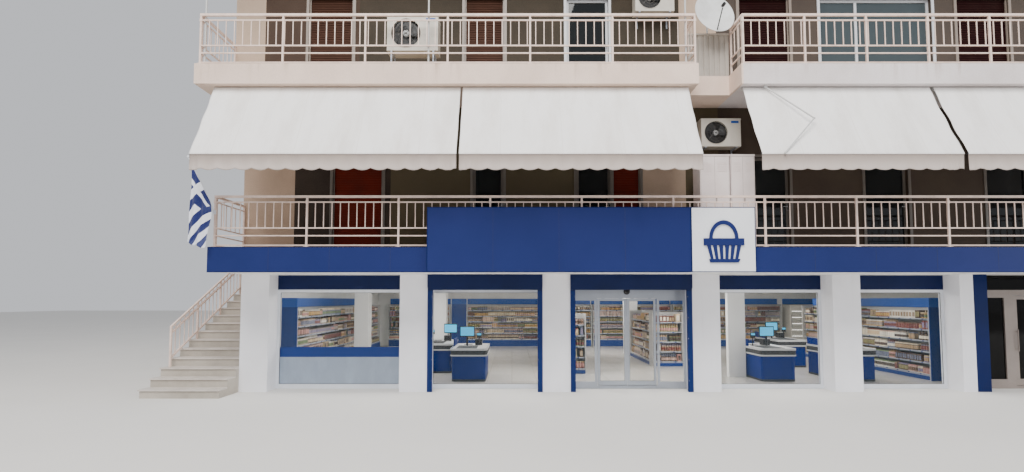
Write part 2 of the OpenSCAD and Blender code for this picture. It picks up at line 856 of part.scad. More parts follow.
// Casing with a round fan opening behind a guard of rings and spokes
module cooling_unit(s) {
  fan_r = s[2] * fan_share;
  translate([s[0] * fan_side, 0, s[2] / 2]) rotate([-90, 0, 0]) {
    for (r = [0.25, 0.5, 0.75] * fan_r) difference() {
      cylinder(r = r + guard_w / 2, h = guard_t, $fn = round_fn);
      translate([0, 0, -1]) cylinder(r = r - guard_w / 2, h = guard_t + 2, $fn = round_fn);
    }
    for (a = [0 : 45 : 135]) rotate(a)
      translate([-fan_r - 1, -guard_w / 2, 0]) cube([2 * fan_r + 2, guard_w, guard_t]);
  }
  difference() {
    cube(s);
    translate([s[0] * fan_side, -1, s[2] / 2]) rotate([-90, 0, 0])
      cylinder(r = fan_r, h = fan_depth, $fn = round_fn);
  }
}

module cooling_units() {
  site() color("whitesmoke") for (u = units) translate(u[0]) cooling_unit(u[1]);
}

bracket_h = 260;

// A floor stand under the first unit, wall brackets under the others
module cooling_brackets() {
  site() color("gray") {
    for (x = [foot_in, units[0][1][0] - foot_in - foot_w]) translate([units[0][0][0] + x, 0, 0]) {
      u = units[0];
      block([0, u[0][1], u[0][2] - foot_w], [foot_w, u[0][1] + u[1][1], u[0][2]]);
      for (y = [u[0][1], u[0][1] + u[1][1] - foot_w])
        block([0, y, second_z], [foot_w, y + foot_w, u[0][2] - foot_w + 1]);
    }
    for (u = [units[1], units[2]], x = [foot_in, u[1][0] - foot_in - foot_w])
      translate([u[0][0] + x, 0, 0]) {
        block([0, u[0][1], u[0][2] - foot_w], [foot_w, 0, u[0][2]]);
        block([0, -foot_w, u[0][2] - bracket_h], [foot_w, 0, u[0][2] - foot_w + 1]);
      }
  }
}

dish_r = 450;
dish_depth = 75;
dish_t = 4;
dish_at = [40, -1000, second_z + 1230];
mast_y = -640;
mast_r = 20;
boom_r = 15;
hub_l = 90;
hub_r = 30;
feed_r = 28;
feed_l = 80;
feed_at = [0, -60, 350];
function bowl(g) = [for (i = [0 : 8]) [dish_r * i / 8, dish_depth * pow(i / 8, 2) + g]];

// Dish on a boom from a mast that stands on the recess slab behind the screen
module satellite_dish() {
  tilt = 78;
  turn = 12;
  back = [-sin(turn) * sin(tilt), cos(turn) * sin(tilt), -cos(tilt)];
  site() color("silver") {
    translate(dish_at) rotate([tilt, 0, turn]) {
      rotate_extrude($fn = 64) polygon(concat(bowl(0), backwards(bowl(dish_t))));
      translate([0, 0, -hub_l]) cylinder(r = hub_r, h = hub_l + 2, $fn = 24);
      rod([0, -dish_r + 10, dish_depth - 35], feed_at + [0, 0, hub_r], 8);
      translate(feed_at) cylinder(r = feed_r, h = feed_l, $fn = 24);
    }
    rod(dish_at + (hub_l - 20) * back, [dish_at[0], mast_y, dish_at[2] - 30], boom_r);
    translate([dish_at[0], mast_y, second_z])
      cylinder(r = mast_r, h = dish_at[2] + 20 - second_z, $fn = 24);
  }
}

cabinet_h = 1980;
cabinet_y = -900;
cabinet_d = 450;
lid_t = 30;
lid_over = 8;

// Two cupboards on the balcony, each under a lid that stands over its doors
module cabinets() {
  lid_z = ground_h + cabinet_h - lid_t;
  back = cabinet_y + cabinet_d;
  site() color("linen")
    for (c = [[-262, 620], [384, 500]]) {
      block([c[0], cabinet_y, ground_h], [c[0] + c[1], back, lid_z]);
      block([c[0] - lid_over, cabinet_y - lid_over, lid_z],
            [c[0] + c[1] + lid_over, back, lid_z + lid_t]);
    }
}

// Side stair

riser = ground_h / risers;
stair_x = -half_w - stair_w;

module side_stair() {
  steps = [for (i = [1 : risers - 1], k = [0, 1])
    [stair_y0 + (i - 1 + k) * going, i * riser - tread_t]];
  site() color("silver") translate([stair_x, 0, 0]) rotate([90, 0, 90]) linear_extrude(stair_w)
    polygon(concat([[stair_y0, 0]], steps,
      [[landing_y, ground_h - tread_t], [landing_y + landing, ground_h - tread_t],
       [landing_y + landing, 0]]));
}

module stair_treads() {
  site() color("gainsboro") {
    for (i = [1 : risers - 1])
      block([stair_x - nosing, stair_y0 + (i - 1) * going - nosing, i * riser - tread_t],
            [-half_w, stair_y0 + i * going, i * riser]);
    block([stair_x - nosing, landing_y - nosing, ground_h - tread_t],
          [-half_w, landing_y + landing, ground_h]);
  }
}

stair_post = 40;
stair_rail_h = 900;
first_post = 3;
stair_inset = 60;
bar_w = 16;
stair_low = 160;
stair_second = 0.8;
landing_top = stair_rail_h + 60;
landing_rails = [landing_top, stair_rail_h - 140, stair_low - 60];
landing_pitch = 150;

// Upright bar of the stair railing, in the middle of its rails
module stair_bar(x, y, z0, z1) {
  in = (stair_post - bar_w) / 2;
  block([x + in, y, z0], [x + in + bar_w, y + bar_w, z1]);
}

// Railing on the open side: it follows the flight, then the landing
module stair_railing() {
  x = stair_x + stair_inset;
  y0 = stair_y0 + (first_post - 0.5) * going;
  z0 = first_post * riser;
  y1 = landing_y;
  slope = riser / going;
  dz = (y1 - y0) * slope;
  site() color("snow") {
    for (h = [stair_rail_h - stair_post, stair_rail_h * stair_second, stair_low])
      translate([x, 0, 0]) rotate([90, 0, 90]) linear_extrude(stair_post)
        polygon([[y0, z0 + h], [y1, z0 + dz + h], [y1, z0 + dz + h + stair_post],
          [y0, z0 + h + stair_post]]);
    for (i = [first_post : risers - 1], k = [0, 1]) {
      y = stair_y0 + (i - 0.5 + k / 2) * going;
      z = z0 + (y - y0) * slope;
      if (k == 0 && (i - first_post) % 3 == 0)
        block([x, y, i * riser], [x + stair_post, y + stair_post, z + stair_rail_h]);
      else
        stair_bar(x, y, z + stair_low + 10, z + stair_rail_h - stair_post / 2);
    }
    for (h = landing_rails)
      block([x, y1 + 1, ground_h + h], [x + stair_post, y1 + landing, ground_h + h + stair_post]);
    for (y = [y1 + 1, y1 + landing / 2, y1 + landing - stair_post])
      block([x, y, ground_h], [x + stair_post, y + stair_post, ground_h + landing_top]);
    for (y = [y1 + landing_pitch : landing_pitch : y1 + landing - landing_pitch / 2])
      stair_bar(x, y, ground_h + stair_low - 50, ground_h + landing_top + 10);
    translate([x, y1 + landing - stair_post, ground_h]) {
      for (h = landing_rails) block([0, 0, h], [-half_w - x, stair_post, h + stair_post]);
      for (i = [1 : 9]) translate([i * landing_pitch, (stair_post - bar_w) / 2, 0])
        block([0, 0, stair_low - 50], [bar_w, bar_w, landing_top + 10]);
    }
  }
}

// Flag on a pole in a socket on the corner post of the first floor railing
pole_r = 14;
rail_face = -balcony_1 + rail_inset - post_w / 2;
pole_a = [-half_w - balcony_side + rail_inset + post_w / 2, rail_face - pole_r, ground_h + 700];
pole_run = [-440, -220, 1080];
pole_b = pole_a + pole_run;
flag_drop = 80;
flag_h = 1780;
flag_t = 20;
flag_in = 10;

module flag_pole() {
  site() color("white") {
    rod(pole_a, pole_b, pole_r);
    translate(pole_b) sphere(r = 26, $fn = 24);
    block([pole_a[0] - 24, rail_face - 2 * pole_r - 8, pole_a[2] - 40],
          [pole_a[0] + 24, rail_face, pole_a[2] + 40]);
  }
}

// The cloth hangs in folds, its hoist edge just in front of the pole
module flag() {
  folds = [[0, 0], [130, 0], [200, -55], [380, -5], [540, -50]];
  y = pole_b[1] - flag_drop * pole_run[1] / pole_run[2] - pole_r - 3 * hair;
  site() color("cornflowerblue")
    translate([pole_b[0] - flag_in, y, pole_b[2] - flag_drop - flag_h]) linear_extrude(flag_h)
      polygon(concat(folds, backwards([for (p = folds) p - [0, flag_t]])));
}

// Inside the shop

pillar_w = 440;
// Left front corner and depth
pillars = [[-9250, 5500, 440], [-6640, 4500, 440], [1370, 2000, 150], [-60, 8000, 440]];

module inner_pillars() {
  site() color("white")
    for (p = pillars) block([p[0], p[1], floor_t], [p[0] + pillar_w, p[1] + p[2], soffit]);
}

shelf_d = 450;
shelf_h = 1780;
shelf_base = 320;
shelf_n = 6;
gondola_h = 1600;
gondola_base = 150;
gondola_n = 5;
board_t = 30;
board_in = 60;
back_t = 20;
end_t = 25;

// Shelving of length l along X that faces -Y, with its back on Y = 0
module shelving(l, h = shelf_h, base = shelf_base, n = shelf_n) {
  step = (h - base) / n;
  block([0, -back_t, 0], [l, 0, h]);
  block([0, -shelf_d, 0], [l, -back_t + 1, base]);
  for (i = [1 : n - 1])
    block([0, -shelf_d + board_in, base + i * step - board_t], [l, -back_t + 1, base + i * step]);
  for (x = [0, l - end_t]) block([x, -shelf_d, 0], [x + end_t, 0, h]);
}

// Start and length of each run: along the rear wall, along the left wall, facing the tills
rear_runs = [[-9450, 2600], [-6120, 5300], [-770, 3370], [2650, 4600]];
side_run = [1500, depth - 3200];
aisle_run = [6000, 1260, 6000];

module wall_shelves() {
  site() color("whitesmoke") {
    for (r = rear_runs) translate([r[0], back_y, floor_t]) shelving(r[1]);
    translate([-half_w + side_t, side_run[0], floor_t]) rotate([0, 0, 90]) shelving(side_run[1]);
  }
}

// Free-standing shelves in the aisle of the sliding doors: left front corner, and length
gondolas = [[-3120, 2550, 3600], [-20, 4200, 2800]];

// Two runs back to back behind a third that faces the shopfront
module gondola(l) {
  translate([0, shelf_d, 0]) shelving(2 * shelf_d, gondola_h, gondola_base, gondola_n);
  translate([shelf_d, shelf_d + l, 0]) rotate([0, 0, -90])
    shelving(l, gondola_h, gondola_base, gondola_n);
  translate([shelf_d, shelf_d, 0]) rotate([0, 0, 90])
    shelving(l, gondola_h, gondola_base, gondola_n);
}

module floor_shelves() {
  site() color("whitesmoke") {
    translate([aisle_run[0] + shelf_d, aisle_run[1] + aisle_run[2], floor_t])
      rotate([0, 0, -90]) shelving(aisle_run[2], base = gondola_base);
    for (g = gondolas) translate([g[0], g[1], floor_t]) gondola(g[2]);
  }
}

header_board = 240;
header_t = 60;
end_panel = 30;
end_over = 90;
// Blue panel on the rear wall between two runs: left edge and width
wall_panel = [-6800, 630];

// Blue boards over the shelving and blue end panels towards the windows
module shelf_headers() {
  z = floor_t + shelf_h;
  side_x = -half_w + side_t;
  site() color("royalblue") {
    for (r = rear_runs)
      block([r[0], back_y - header_t, z], [r[0] + r[1], back_y, z + header_board]);
    block([cooler_x, back_y - header_t, z],
          [cooler_x + cooler_n * (cooler_w + cooler_gap), back_y, z + header_board]);
    block([wall_panel[0], back_y - header_t, floor_t],
          [wall_panel[0] + wall_panel[1], back_y, z + header_board]);
    block([side_x, side_run[0], z], [side_x + header_t, side_run[0] + side_run[1], z + header_board]);
    block([side_x, side_run[0] - end_panel, floor_t],
          [side_x + shelf_d, side_run[0], z + header_board]);
    block([aisle_run[0], aisle_run[1] - end_panel, floor_t],
          [aisle_run[0] + shelf_d + end_over, aisle_run[1], z + header_board]);
    block([aisle_run[0] + shelf_d - header_t, aisle_run[1], z],
          [aisle_run[0] + shelf_d, aisle_run[1] + aisle_run[2], z + header_board]);
  }
}

// Checkout: left front corner on the floor, and how far its screen stands from the left edge
tills = [[-5660, 1150, 300], [-6660, 2700, 700], [1840, 1150, 560], [3780, 1150, 250],
  [3600, 4000, 250]];
till_size = [820, 1600, 790];
till_r = 70;
head_h = 180;
head_out = 30;
bag_wall = 25;
bag_h = 180;
stalk_r = 25;
stalk_h = 250;
screen_size = [380, 35, 270];
screen_back = 20;

// Rectangle of a size with round corners
module round_plate(w, d, r, h) {
  linear_extrude(h) {
    for (x = [r, w - r], y = [r, d - r]) translate([x, y]) circle(r = r, $fn = round_fn);
    translate([r, 0]) square([w - 2 * r, d]);
    translate([0, r]) square([w, d - 2 * r]);
  }
}

// Rounded body under a wider head, with a wall beside the packing end
module checkout() {
  s = till_size;
  round_plate(s[0], s[1], till_r, s[2] - head_h + 1);
  translate([-head_out, -head_out, s[2] - head_h])
    round_plate(s[0] + 2 * head_out, s[1] + 2 * head_out, till_r + head_out, head_h);
  block([-head_out, s[1] * 0.45, s[2] - 1], [-head_out + bag_wall, s[1] - till_r, s[2] + bag_h]);
}

// Screen of a checkout on its stalk
module till_screen(x) {
  s = till_size;
  translate([x, s[1] * 0.6, s[2]]) {
    cylinder(r = stalk_r, h = stalk_h, $fn = 24);
    translate([-screen_size[0] / 2, -screen_back, stalk_h - screen_back]) cube(screen_size);
  }
}

module checkouts() {
  site() color("royalblue") for (t = tills) translate([t[0], t[1], floor_t]) checkout();
}

module till_screens() {
  site() color("black") for (t = tills) translate([t[0], t[1], floor_t]) till_screen(t[2]);
}

cooler_x = 7500;
cooler_w = 620;
cooler_n = 3;
cooler_h = 1760;
cooler_d = 700;
cooler_gap = 4;
cooler_frame = 50;
cooler_foot = 180;
cooler_head = 250;

// Upright coolers with a framed glass front
module glass_coolers() {
  site() color("lightgray")
    for (i = [0 : cooler_n - 1])
      translate([cooler_x + i * (cooler_w + cooler_gap), back_y - cooler_d, floor_t]) difference() {
        cube([cooler_w, cooler_d, cooler_h]);
        block([cooler_frame, -1, cooler_foot],
              [cooler_w - cooler_frame, cooler_frame / 2, cooler_h - cooler_head]);
      }
}

shop_floor();
front_columns();
ground_left_wall();
ground_rear_wall();
ground_right_wall();
first_floor_slab();
first_front_wall();
first_left_wall();
first_rear_wall();
first_right_wall();
second_floor_slab();
second_front_wall();
second_left_wall();
second_rear_wall();
second_right_wall();
roof_slab();
parapet();
shop_frames();
shop_glass();
header_panels();
roller_boxes();
sliding_door_frame();
left_door_leaf();
right_door_leaf();
left_door_glass();
right_door_glass();
entrance_frame();
entrance_glass();
entrance_leaf();
entrance_leaf_glass();
blue_pilaster();
sign_bands();
main_sign();
square_sign();
first_railing();
second_railing_left();
second_railing_right();
recess_screen();
roller_shutters();
window_frames();
window_glass();
awning_cloth();
awning_hardware();
cooling_units();
cooling_brackets();
satellite_dish();
cabinets();
side_stair();
stair_treads();
stair_railing();
flag_pole();
flag();
inner_pillars();
wall_shelves();
floor_shelves();
shelf_headers();
checkouts();
till_screens();
glass_coolers();
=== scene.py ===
"""Looks of a supermarket building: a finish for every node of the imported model, and the fine pieces on them."""

import math

import bmesh
import bpy
import numpy as np
from bpy.props import FloatProperty, FloatVectorProperty, IntProperty, PointerProperty
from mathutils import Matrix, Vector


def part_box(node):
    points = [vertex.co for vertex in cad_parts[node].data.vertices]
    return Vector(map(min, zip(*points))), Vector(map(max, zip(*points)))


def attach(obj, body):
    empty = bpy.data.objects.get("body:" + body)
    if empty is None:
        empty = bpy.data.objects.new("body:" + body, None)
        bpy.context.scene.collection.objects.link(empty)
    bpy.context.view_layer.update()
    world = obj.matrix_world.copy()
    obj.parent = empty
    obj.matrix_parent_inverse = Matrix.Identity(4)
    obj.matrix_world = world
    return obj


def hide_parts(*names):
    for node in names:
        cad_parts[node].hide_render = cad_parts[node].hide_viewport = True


bl_info = {
    "name": "Supermarket building",
    "version": (1, 0, 0),
    "blender": (4, 5, 0),
    "location": "3D view > Sidebar > Supermarket",
    "description": "Finishes and fine pieces of a supermarket with flats above it",
    "category": "Add Mesh",
}

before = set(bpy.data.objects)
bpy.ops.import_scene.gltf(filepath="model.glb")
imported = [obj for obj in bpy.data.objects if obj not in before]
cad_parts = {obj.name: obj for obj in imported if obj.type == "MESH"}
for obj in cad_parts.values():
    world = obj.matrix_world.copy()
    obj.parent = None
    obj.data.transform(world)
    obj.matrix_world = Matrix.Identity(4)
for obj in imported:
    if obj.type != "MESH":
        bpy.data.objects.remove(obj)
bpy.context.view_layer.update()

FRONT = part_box("front_columns")[0].y
GROUND_SOFFIT, FIRST_FLOOR = (corner.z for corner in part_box("first_floor_slab"))
SECOND_SOFFIT, SECOND_FLOOR = (corner.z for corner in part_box("second_floor_slab"))
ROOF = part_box("roof_slab")[1].z
SHOP_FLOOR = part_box("shop_floor")[1].z
HALF_WIDTH, HALF_WIDTH_2 = (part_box(storey + "_front_wall")[1].x for storey in ("first", "second"))


# ---- shapes: every one is worked out on whole numpy arrays


def join(parts):
    """Points and faces of several shapes as one, each shape's face numbers moved on by the points before it."""
    points, faces, start = [], [], 0
    for p, f in parts:
        p = np.asarray(p, float).reshape(-1, 3)
        points.append(p)
        faces += (f + start).tolist() if isinstance(f, np.ndarray) else [[i + start for i in one] for one in f]
        start += len(p)
    return np.concatenate(points), faces


UNIT_BOX = np.array([[0, 0, 0], [1, 0, 0], [1, 1, 0], [0, 1, 0], [0, 0, 1], [1, 0, 1], [1, 1, 1], [0, 1, 1]], float)
BOX_FACES = np.array([[0, 3, 2, 1], [4, 5, 6, 7], [0, 1, 5, 4], [1, 2, 6, 5], [2, 3, 7, 6], [3, 0, 4, 7]])


def boxes(pairs):
    """Boxes from pairs of a lowest and a highest corner: corner = low + unit corner x (high - low)."""
    low, high = np.asarray(pairs, float).reshape(-1, 2, 3).transpose(1, 0, 2)
    points = low[:, None] + UNIT_BOX * (high - low)[:, None]
    faces = BOX_FACES + 8 * np.arange(len(low))[:, None, None]
    return points.reshape(-1, 3), faces.reshape(-1, 4)


def near(origins, *offsets):
    """Pairs of corners for boxes() at each origin, one for each six offsets: x, y, z of the low and the high corner."""
    pairs = np.reshape(origins, (-1, 1, 1, 3)) + np.reshape(offsets, (-1, 2, 3))
    return list(pairs.reshape(-1, 2, 3))


def frame_strips(x0, x1, z0, z1, y0, y1, wide):
    """Pairs of corners of four strips inside a rectangle of the front."""
    return [([x0, y0, z0], [x0 + wide, y1, z1]), ([x1 - wide, y0, z0], [x1, y1, z1]),
            ([x0 + wide, y0, z0], [x1 - wide, y1, z0 + wide]), ([x0 + wide, y0, z1 - wide], [x1 - wide, y1, z1])]


def grid_faces(rows, columns, wrap=False, close=False):
    """Quads between neighbouring rows and columns of a grid. wrap joins its last column to the first, close its last
    row."""
    r, c = np.meshgrid(np.arange(rows - (not close)), np.arange(columns - (not wrap)), indexing="ij")
    below, right = (r + 1) % rows, (c + 1) % columns
    corners = [r * columns + c, r * columns + right, below * columns + right, below * columns + c]
    return np.stack(corners, -1).reshape(-1, 4)


def capped(rings):
    """Rings of points, each joined to the next, with a face over the first and the last."""
    rows, sides = rings.shape[:2]
    last = (rows - 1) * sides
    ends = [list(range(sides))[::-1], list(range(last, last + sides))]
    return rings.reshape(-1, 3), grid_faces(rows, sides, True).tolist() + ends


def circle(sides):
    """Cosines and sines of a full turn in equal steps."""
    t = np.arange(sides) * 2 * math.pi / sides
    return np.cos(t), np.sin(t)


def lathe(profile, centre, axis=(0, 0, 1), sides=16):
    """Turned shape: point = centre + radius x (cos t, sin t) across the axis + height x axis."""
    profile = np.asarray(profile, float)
    axis = np.asarray(axis, float) / np.linalg.norm(axis)
    side = np.cross(axis, (0, 0, 1) if abs(axis[2]) < 0.9 else (1, 0, 0))
    side /= np.linalg.norm(side)
    c, s = circle(sides)
    ring = c[:, None] * side + s[:, None] * np.cross(axis, side)
    return capped(np.asarray(centre, float) + profile[:, :1, None] * ring + profile[:, 1:, None] * axis)


def tube(path, radius, sides=8):
    """Round bar along a path: circle of that radius square to the path at each of its points."""
    path = np.asarray(path, float)
    ahead = np.gradient(path, axis=0)
    ahead /= np.linalg.norm(ahead, axis=1)[:, None]
    side = np.cross(ahead, np.where(np.abs(ahead[:, 2:]) > 0.9, [[1.0, 0, 0]], [[0, 0, 1.0]]))
    side /= np.linalg.norm(side, axis=1)[:, None]
    c, s = (wave[None, :, None] for wave in circle(sides))
    points, faces = capped(path[:, None] + radius * (c * side[:, None] + s * np.cross(side, ahead)[:, None]))
    return points, [face[::-1] for face in faces]


def outline_plate(outline, low, high, axis=1):
    """Flat plate: a closed outline of two coordinates, carried from low to high along the third."""
    points = np.zeros((2, len(outline), 3))
    points[..., [a for a in range(3) if a != axis]] = outline
    points[0, :, axis], points[1, :, axis] = low, high
    return capped(points)


def rounded(x0, y0, x1, y1, r):
    """Outline of a rectangle with round corners: point = corner centre + r (cos t, sin t), a quarter turn a corner."""
    centres = [(x1 - r, y1 - r), (x0 + r, y1 - r), (x0 + r, y0 + r), (x1 - r, y0 + r)]
    turns = [np.linspace(0.0, math.pi / 2, 6) + k * math.pi / 2 for k in range(4)]
    return np.concatenate([np.stack([x + r * np.cos(t), y + r * np.sin(t)], -1) for (x, y), t in zip(centres, turns)])


def band(x0, y0, x1, y1, r, out, z0, z1):
    """Band round an upright body with round corners: its outline and the same outline carried out, from z0 to z1."""
    inner, outer = rounded(x0, y0, x1, y1, r), rounded(x0 - out, y0 - out, x1 + out, y1 + out, r + out)
    loops = ((outer, z0), (outer, z1), (inner, z1), (inner, z0))
    points = np.concatenate([np.c_[loop, np.full(len(loop), z)] for loop, z in loops])
    return points, grid_faces(4, len(inner), True, True)


def placed(name, data):
    """A new object in the scene, at the origin."""
    thing = bpy.data.objects.new(name, data)
    bpy.context.scene.collection.objects.link(thing)
    return thing


def piece(name, shape, finish, body="building", smooth=False, uv=None, tint=None, mend=False):
    """Puts points and faces into a mesh, which rides on its body. mend turns the faces of closed shells outwards."""
    points, faces = shape
    mesh = bpy.data.meshes.new(name)
    mesh.from_pydata(points.reshape(-1, 3).tolist(), [], faces.tolist() if isinstance(faces, np.ndarray) else faces)
    if uv is not None:
        layer = mesh.uv_layers.new(name="cloth")
        index = np.zeros(len(mesh.loops), np.int32)
        mesh.loops.foreach_get("vertex_index", index)
        layer.data.foreach_set("uv", uv.reshape(-1, 2)[index].astype(np.float32).ravel())
    if tint is not None:
        attribute = mesh.attributes.new("tint", "FLOAT_COLOR", "POINT")
        attribute.data.foreach_set("color", np.c_[tint, np.ones(len(tint))].astype(np.float32).ravel())
    mesh.update(calc_edges=True)
    mesh.validate()
    if mend:
        work = bmesh.new()
        work.from_mesh(mesh)
        bmesh.ops.recalc_face_normals(work, faces=work.faces)
        work.to_mesh(mesh)
        work.free()
    mesh.shade_smooth() if smooth else mesh.shade_flat()
    mesh.materials.append(finishes[finish])
    thing = placed(name, mesh)
    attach(thing, body)
    return thing


def plates(name, pairs, finish, body="building"):
    """One piece of many boxes."""
    return piece(name, boxes(pairs), finish, body)


# ---- finishes


def screen(red, green, blue):
    """Linear colour of a colour read from a screen, 0 to 255."""
    c = np.array([red, green, blue]) / 255.0
    c = np.where(c <= 0.04045, c / 12.92, ((c + 0.055) / 1.055) ** 2.4)
    return (*map(float, c), 1.0)


def shade(colour):
    """Linear colour of three numbers read from a screen, or of the four of a setting."""
    return screen(*colour) if len(colour) == 3 else tuple(colour)


class Net:
    """A node tree, with the nodes that finishes are made of. Colours are given as shade() takes them."""

    def __init__(self, tree):
        self.tree = tree

    def feed(self, sockets, values):
        """Links or sets each socket that is named."""
        for key, value in values.items():
            if isinstance(value, bpy.types.NodeSocket):
                self.tree.links.new(value, sockets[key])
            else:
                sockets[key].default_value = shade(value) if sockets[key].type == "RGBA" else value

    def node(self, kind, inputs=None, **settings):
        made = self.tree.nodes.new("ShaderNode" + kind)
        for key, value in settings.items():
            setattr(made, key, value)
        self.feed(made.inputs, inputs or {})
        return made

    def use(self, tree, inputs):
        """Outputs of a node group placed with its inputs."""
        return self.node("Group", inputs, node_tree=tree).outputs

    def math(self, operation, a, b=0.0, c=0.0, clamp=False):
        return self.node("Math", {0: a, 1: b, 2: c}, operation=operation, use_clamp=clamp).outputs[0]

    def times(self, product, *factors):
        for factor in factors:
            product = self.math("MULTIPLY", product, factor)
        return product

    def over(self, a, b):
        return self.math("GREATER_THAN", a, b)

    def under(self, a, b):
        return self.math("LESS_THAN", a, b)

    def spread(self, value, low, high, to_low=0.0, to_high=1.0):
        return self.node("MapRange", {"Value": value, "From Min": low, "From Max": high, "To Min": to_low,
                                      "To Max": to_high}).outputs["Result"]

    def noise(self, vector, scale, detail=4.0, rough=0.55):
        return self.node("TexNoise", {"Vector": vector, "Scale": scale, "Detail": detail,
                                      "Roughness": rough}).outputs["Fac"]

    def mix(self, share, a, b, kind="MIX"):
        return self.node("Mix", {0: share, 6: a, 7: b}, data_type="RGBA", blend_type=kind).outputs[2]

    def grey(self, value):
        return self.node("CombineXYZ", dict.fromkeys(range(3), value)).outputs[0]

    def stretched(self, vector, *factors):
        return self.node("VectorMath", {0: vector, 1: factors}, operation="MULTIPLY").outputs[0]

    def axes(self, vector):
        return self.node("SeparateXYZ", {0: vector}).outputs

    def bump(self, height, distance):
        return self.node("Bump", {"Height": height, "Distance": distance, "Strength": 1.0}).outputs[0]


def group(name, inputs, outputs, build):
    """A shader node group made once. inputs and outputs name the sockets of each kind, and build feeds the outputs."""
    found = bpy.data.node_groups.get(name)
    if found:
        return found
    net = Net(bpy.data.node_groups.new(name, "ShaderNodeTree"))
    for way, kinds in (("INPUT", inputs), ("OUTPUT", outputs)):
        for kind, labels in kinds.items():
            for label in labels.split():
                net.tree.interface.new_socket(name=label, in_out=way, socket_type="NodeSocket" + kind)
    enter, leave = (net.tree.nodes.new("NodeGroup" + kind) for kind in ("Input", "Output"))
    net.feed(leave.inputs, build(net, enter.outputs))
    return net.tree


def weathering():
    """Patches of dirt, streaks that run down from a height, and fine grain over a base colour."""
    def build(net, given):
        at, scale, top = given["Vector"], given["Scale"], given["Top"]
        fall = net.spread(net.axes(at)["Z"], net.math("SUBTRACT", top, given["Fall"]), top)
        cloud = net.spread(net.noise(at, scale, 6.0, 0.6), 0.42, 0.78)
        run = net.noise(net.stretched(at, 1.0, 1.0, 0.07), net.times(scale, 5.0), 5.0, 0.6)
        here = net.spread(net.noise(net.stretched(at, 1.0, 1.0, 0.2), net.times(scale, 0.9), 3.0), 0.38, 0.66)
        run = net.times(net.spread(run, 0.50, 0.72), net.times(fall, given["Streaks"]), here)
        wear = net.math("MAXIMUM", net.times(cloud, given["Patches"]), run, clamp=True)
        fine = net.noise(at, net.times(scale, 60.0), 3.0, 0.7)
        tone = net.spread(net.noise(at, net.times(scale, 0.6), 3.0), 0.3, 0.7, 0.93, 1.06)
        soiled = net.mix(wear, net.mix(1.0, given["Base"], net.grey(tone), "MULTIPLY"), given["Dirt"])
        return {"Color": net.mix(net.spread(fine, 0.35, 0.8, 0.0, 0.22), soiled, given["Dirt"]),
                "Wear": wear, "Height": net.times(fine, given["Grain"])}
    return group("weathering", {"Vector": "Vector", "Color": "Base Dirt",
                                "Float": "Scale Patches Streaks Top Fall Grain"},
                 {"Color": "Color", "Float": "Wear Height"}, build)


def tiling():
    """Square tiles with sunk joints, in two close tones."""
    def build(net, given):
        brick = net.node("TexBrick", {
            "Vector": given["Vector"], "Color1": given["Base"], "Color2": given["Second"], "Mortar": given["Joint"],
            "Scale": 1.0, "Mortar Size": 0.0035, "Mortar Smooth": 0.1, "Brick Width": given["Size"],
            "Row Height": given["Size"]}, offset=0.0, squash=1.0).outputs
        return {"Color": brick["Color"], "Height": net.math("SUBTRACT", 1.0, brick["Fac"])}
    return group("tiling", {"Vector": "Vector", "Color": "Base Second Joint", "Float": "Size"},
                 {"Color": "Color", "Float": "Height"}, build)


def weave():
    """Crossing threads of a cloth from its own flat coordinates in metres, with sewn seams at a spacing."""
    def build(net, given):
        flat = net.axes(given["Flat"])
        turns = net.times(given["Threads"], 2 * math.pi)
        across, along = (net.math("SINE", net.times(flat[k], turns)) for k in "XY")
        thread = net.math("MULTIPLY_ADD", net.math("ADD", across, along), 0.25, 0.5)
        to_seam = net.math("PINGPONG", flat["X"], net.times(given["Seams"], 0.5))
        seam = net.spread(to_seam, 0.006, 0.014, 1.0, 0.0)
        slub = net.noise(net.stretched(given["Flat"], 14.0, 1.2, 1.0), 6.0, 4.0, 0.7)
        return {"Height": net.math("ADD", thread, net.times(seam, 1.5)), "Seam": seam, "Slub": slub}
    return group("weave", {"Vector": "Flat", "Float": "Threads Seams"}, {"Float": "Height Seam Slub"}, build)


def within():
    """One inside the walls of the shop and the flats, nought outside."""
    def build(net, given):
        at = net.axes(given["Vector"])
        return {"Mask": net.times(net.under(net.math("ABSOLUTE", at["X"]), given["Reach"]),
                                  net.under(at["Y"], given["Rear"]), net.over(at["Y"], given["Front"]))}
    return group("within", {"Vector": "Vector", "Float": "Reach Front Rear"}, {"Float": "Mask"}, build)


def blank(name):
    """A new material: its nodes, its shader's inputs and its object coordinates."""
    made = bpy.data.materials.new(name)
    made.use_nodes = True
    net = Net(made.node_tree)
    return made, net, net.tree.nodes["Principled BSDF"].inputs, net.node("TexCoord").outputs["Object"]


# the zones of colour are given along X from -ZONE_REACH to ZONE_REACH
ZONE_REACH = 12.0


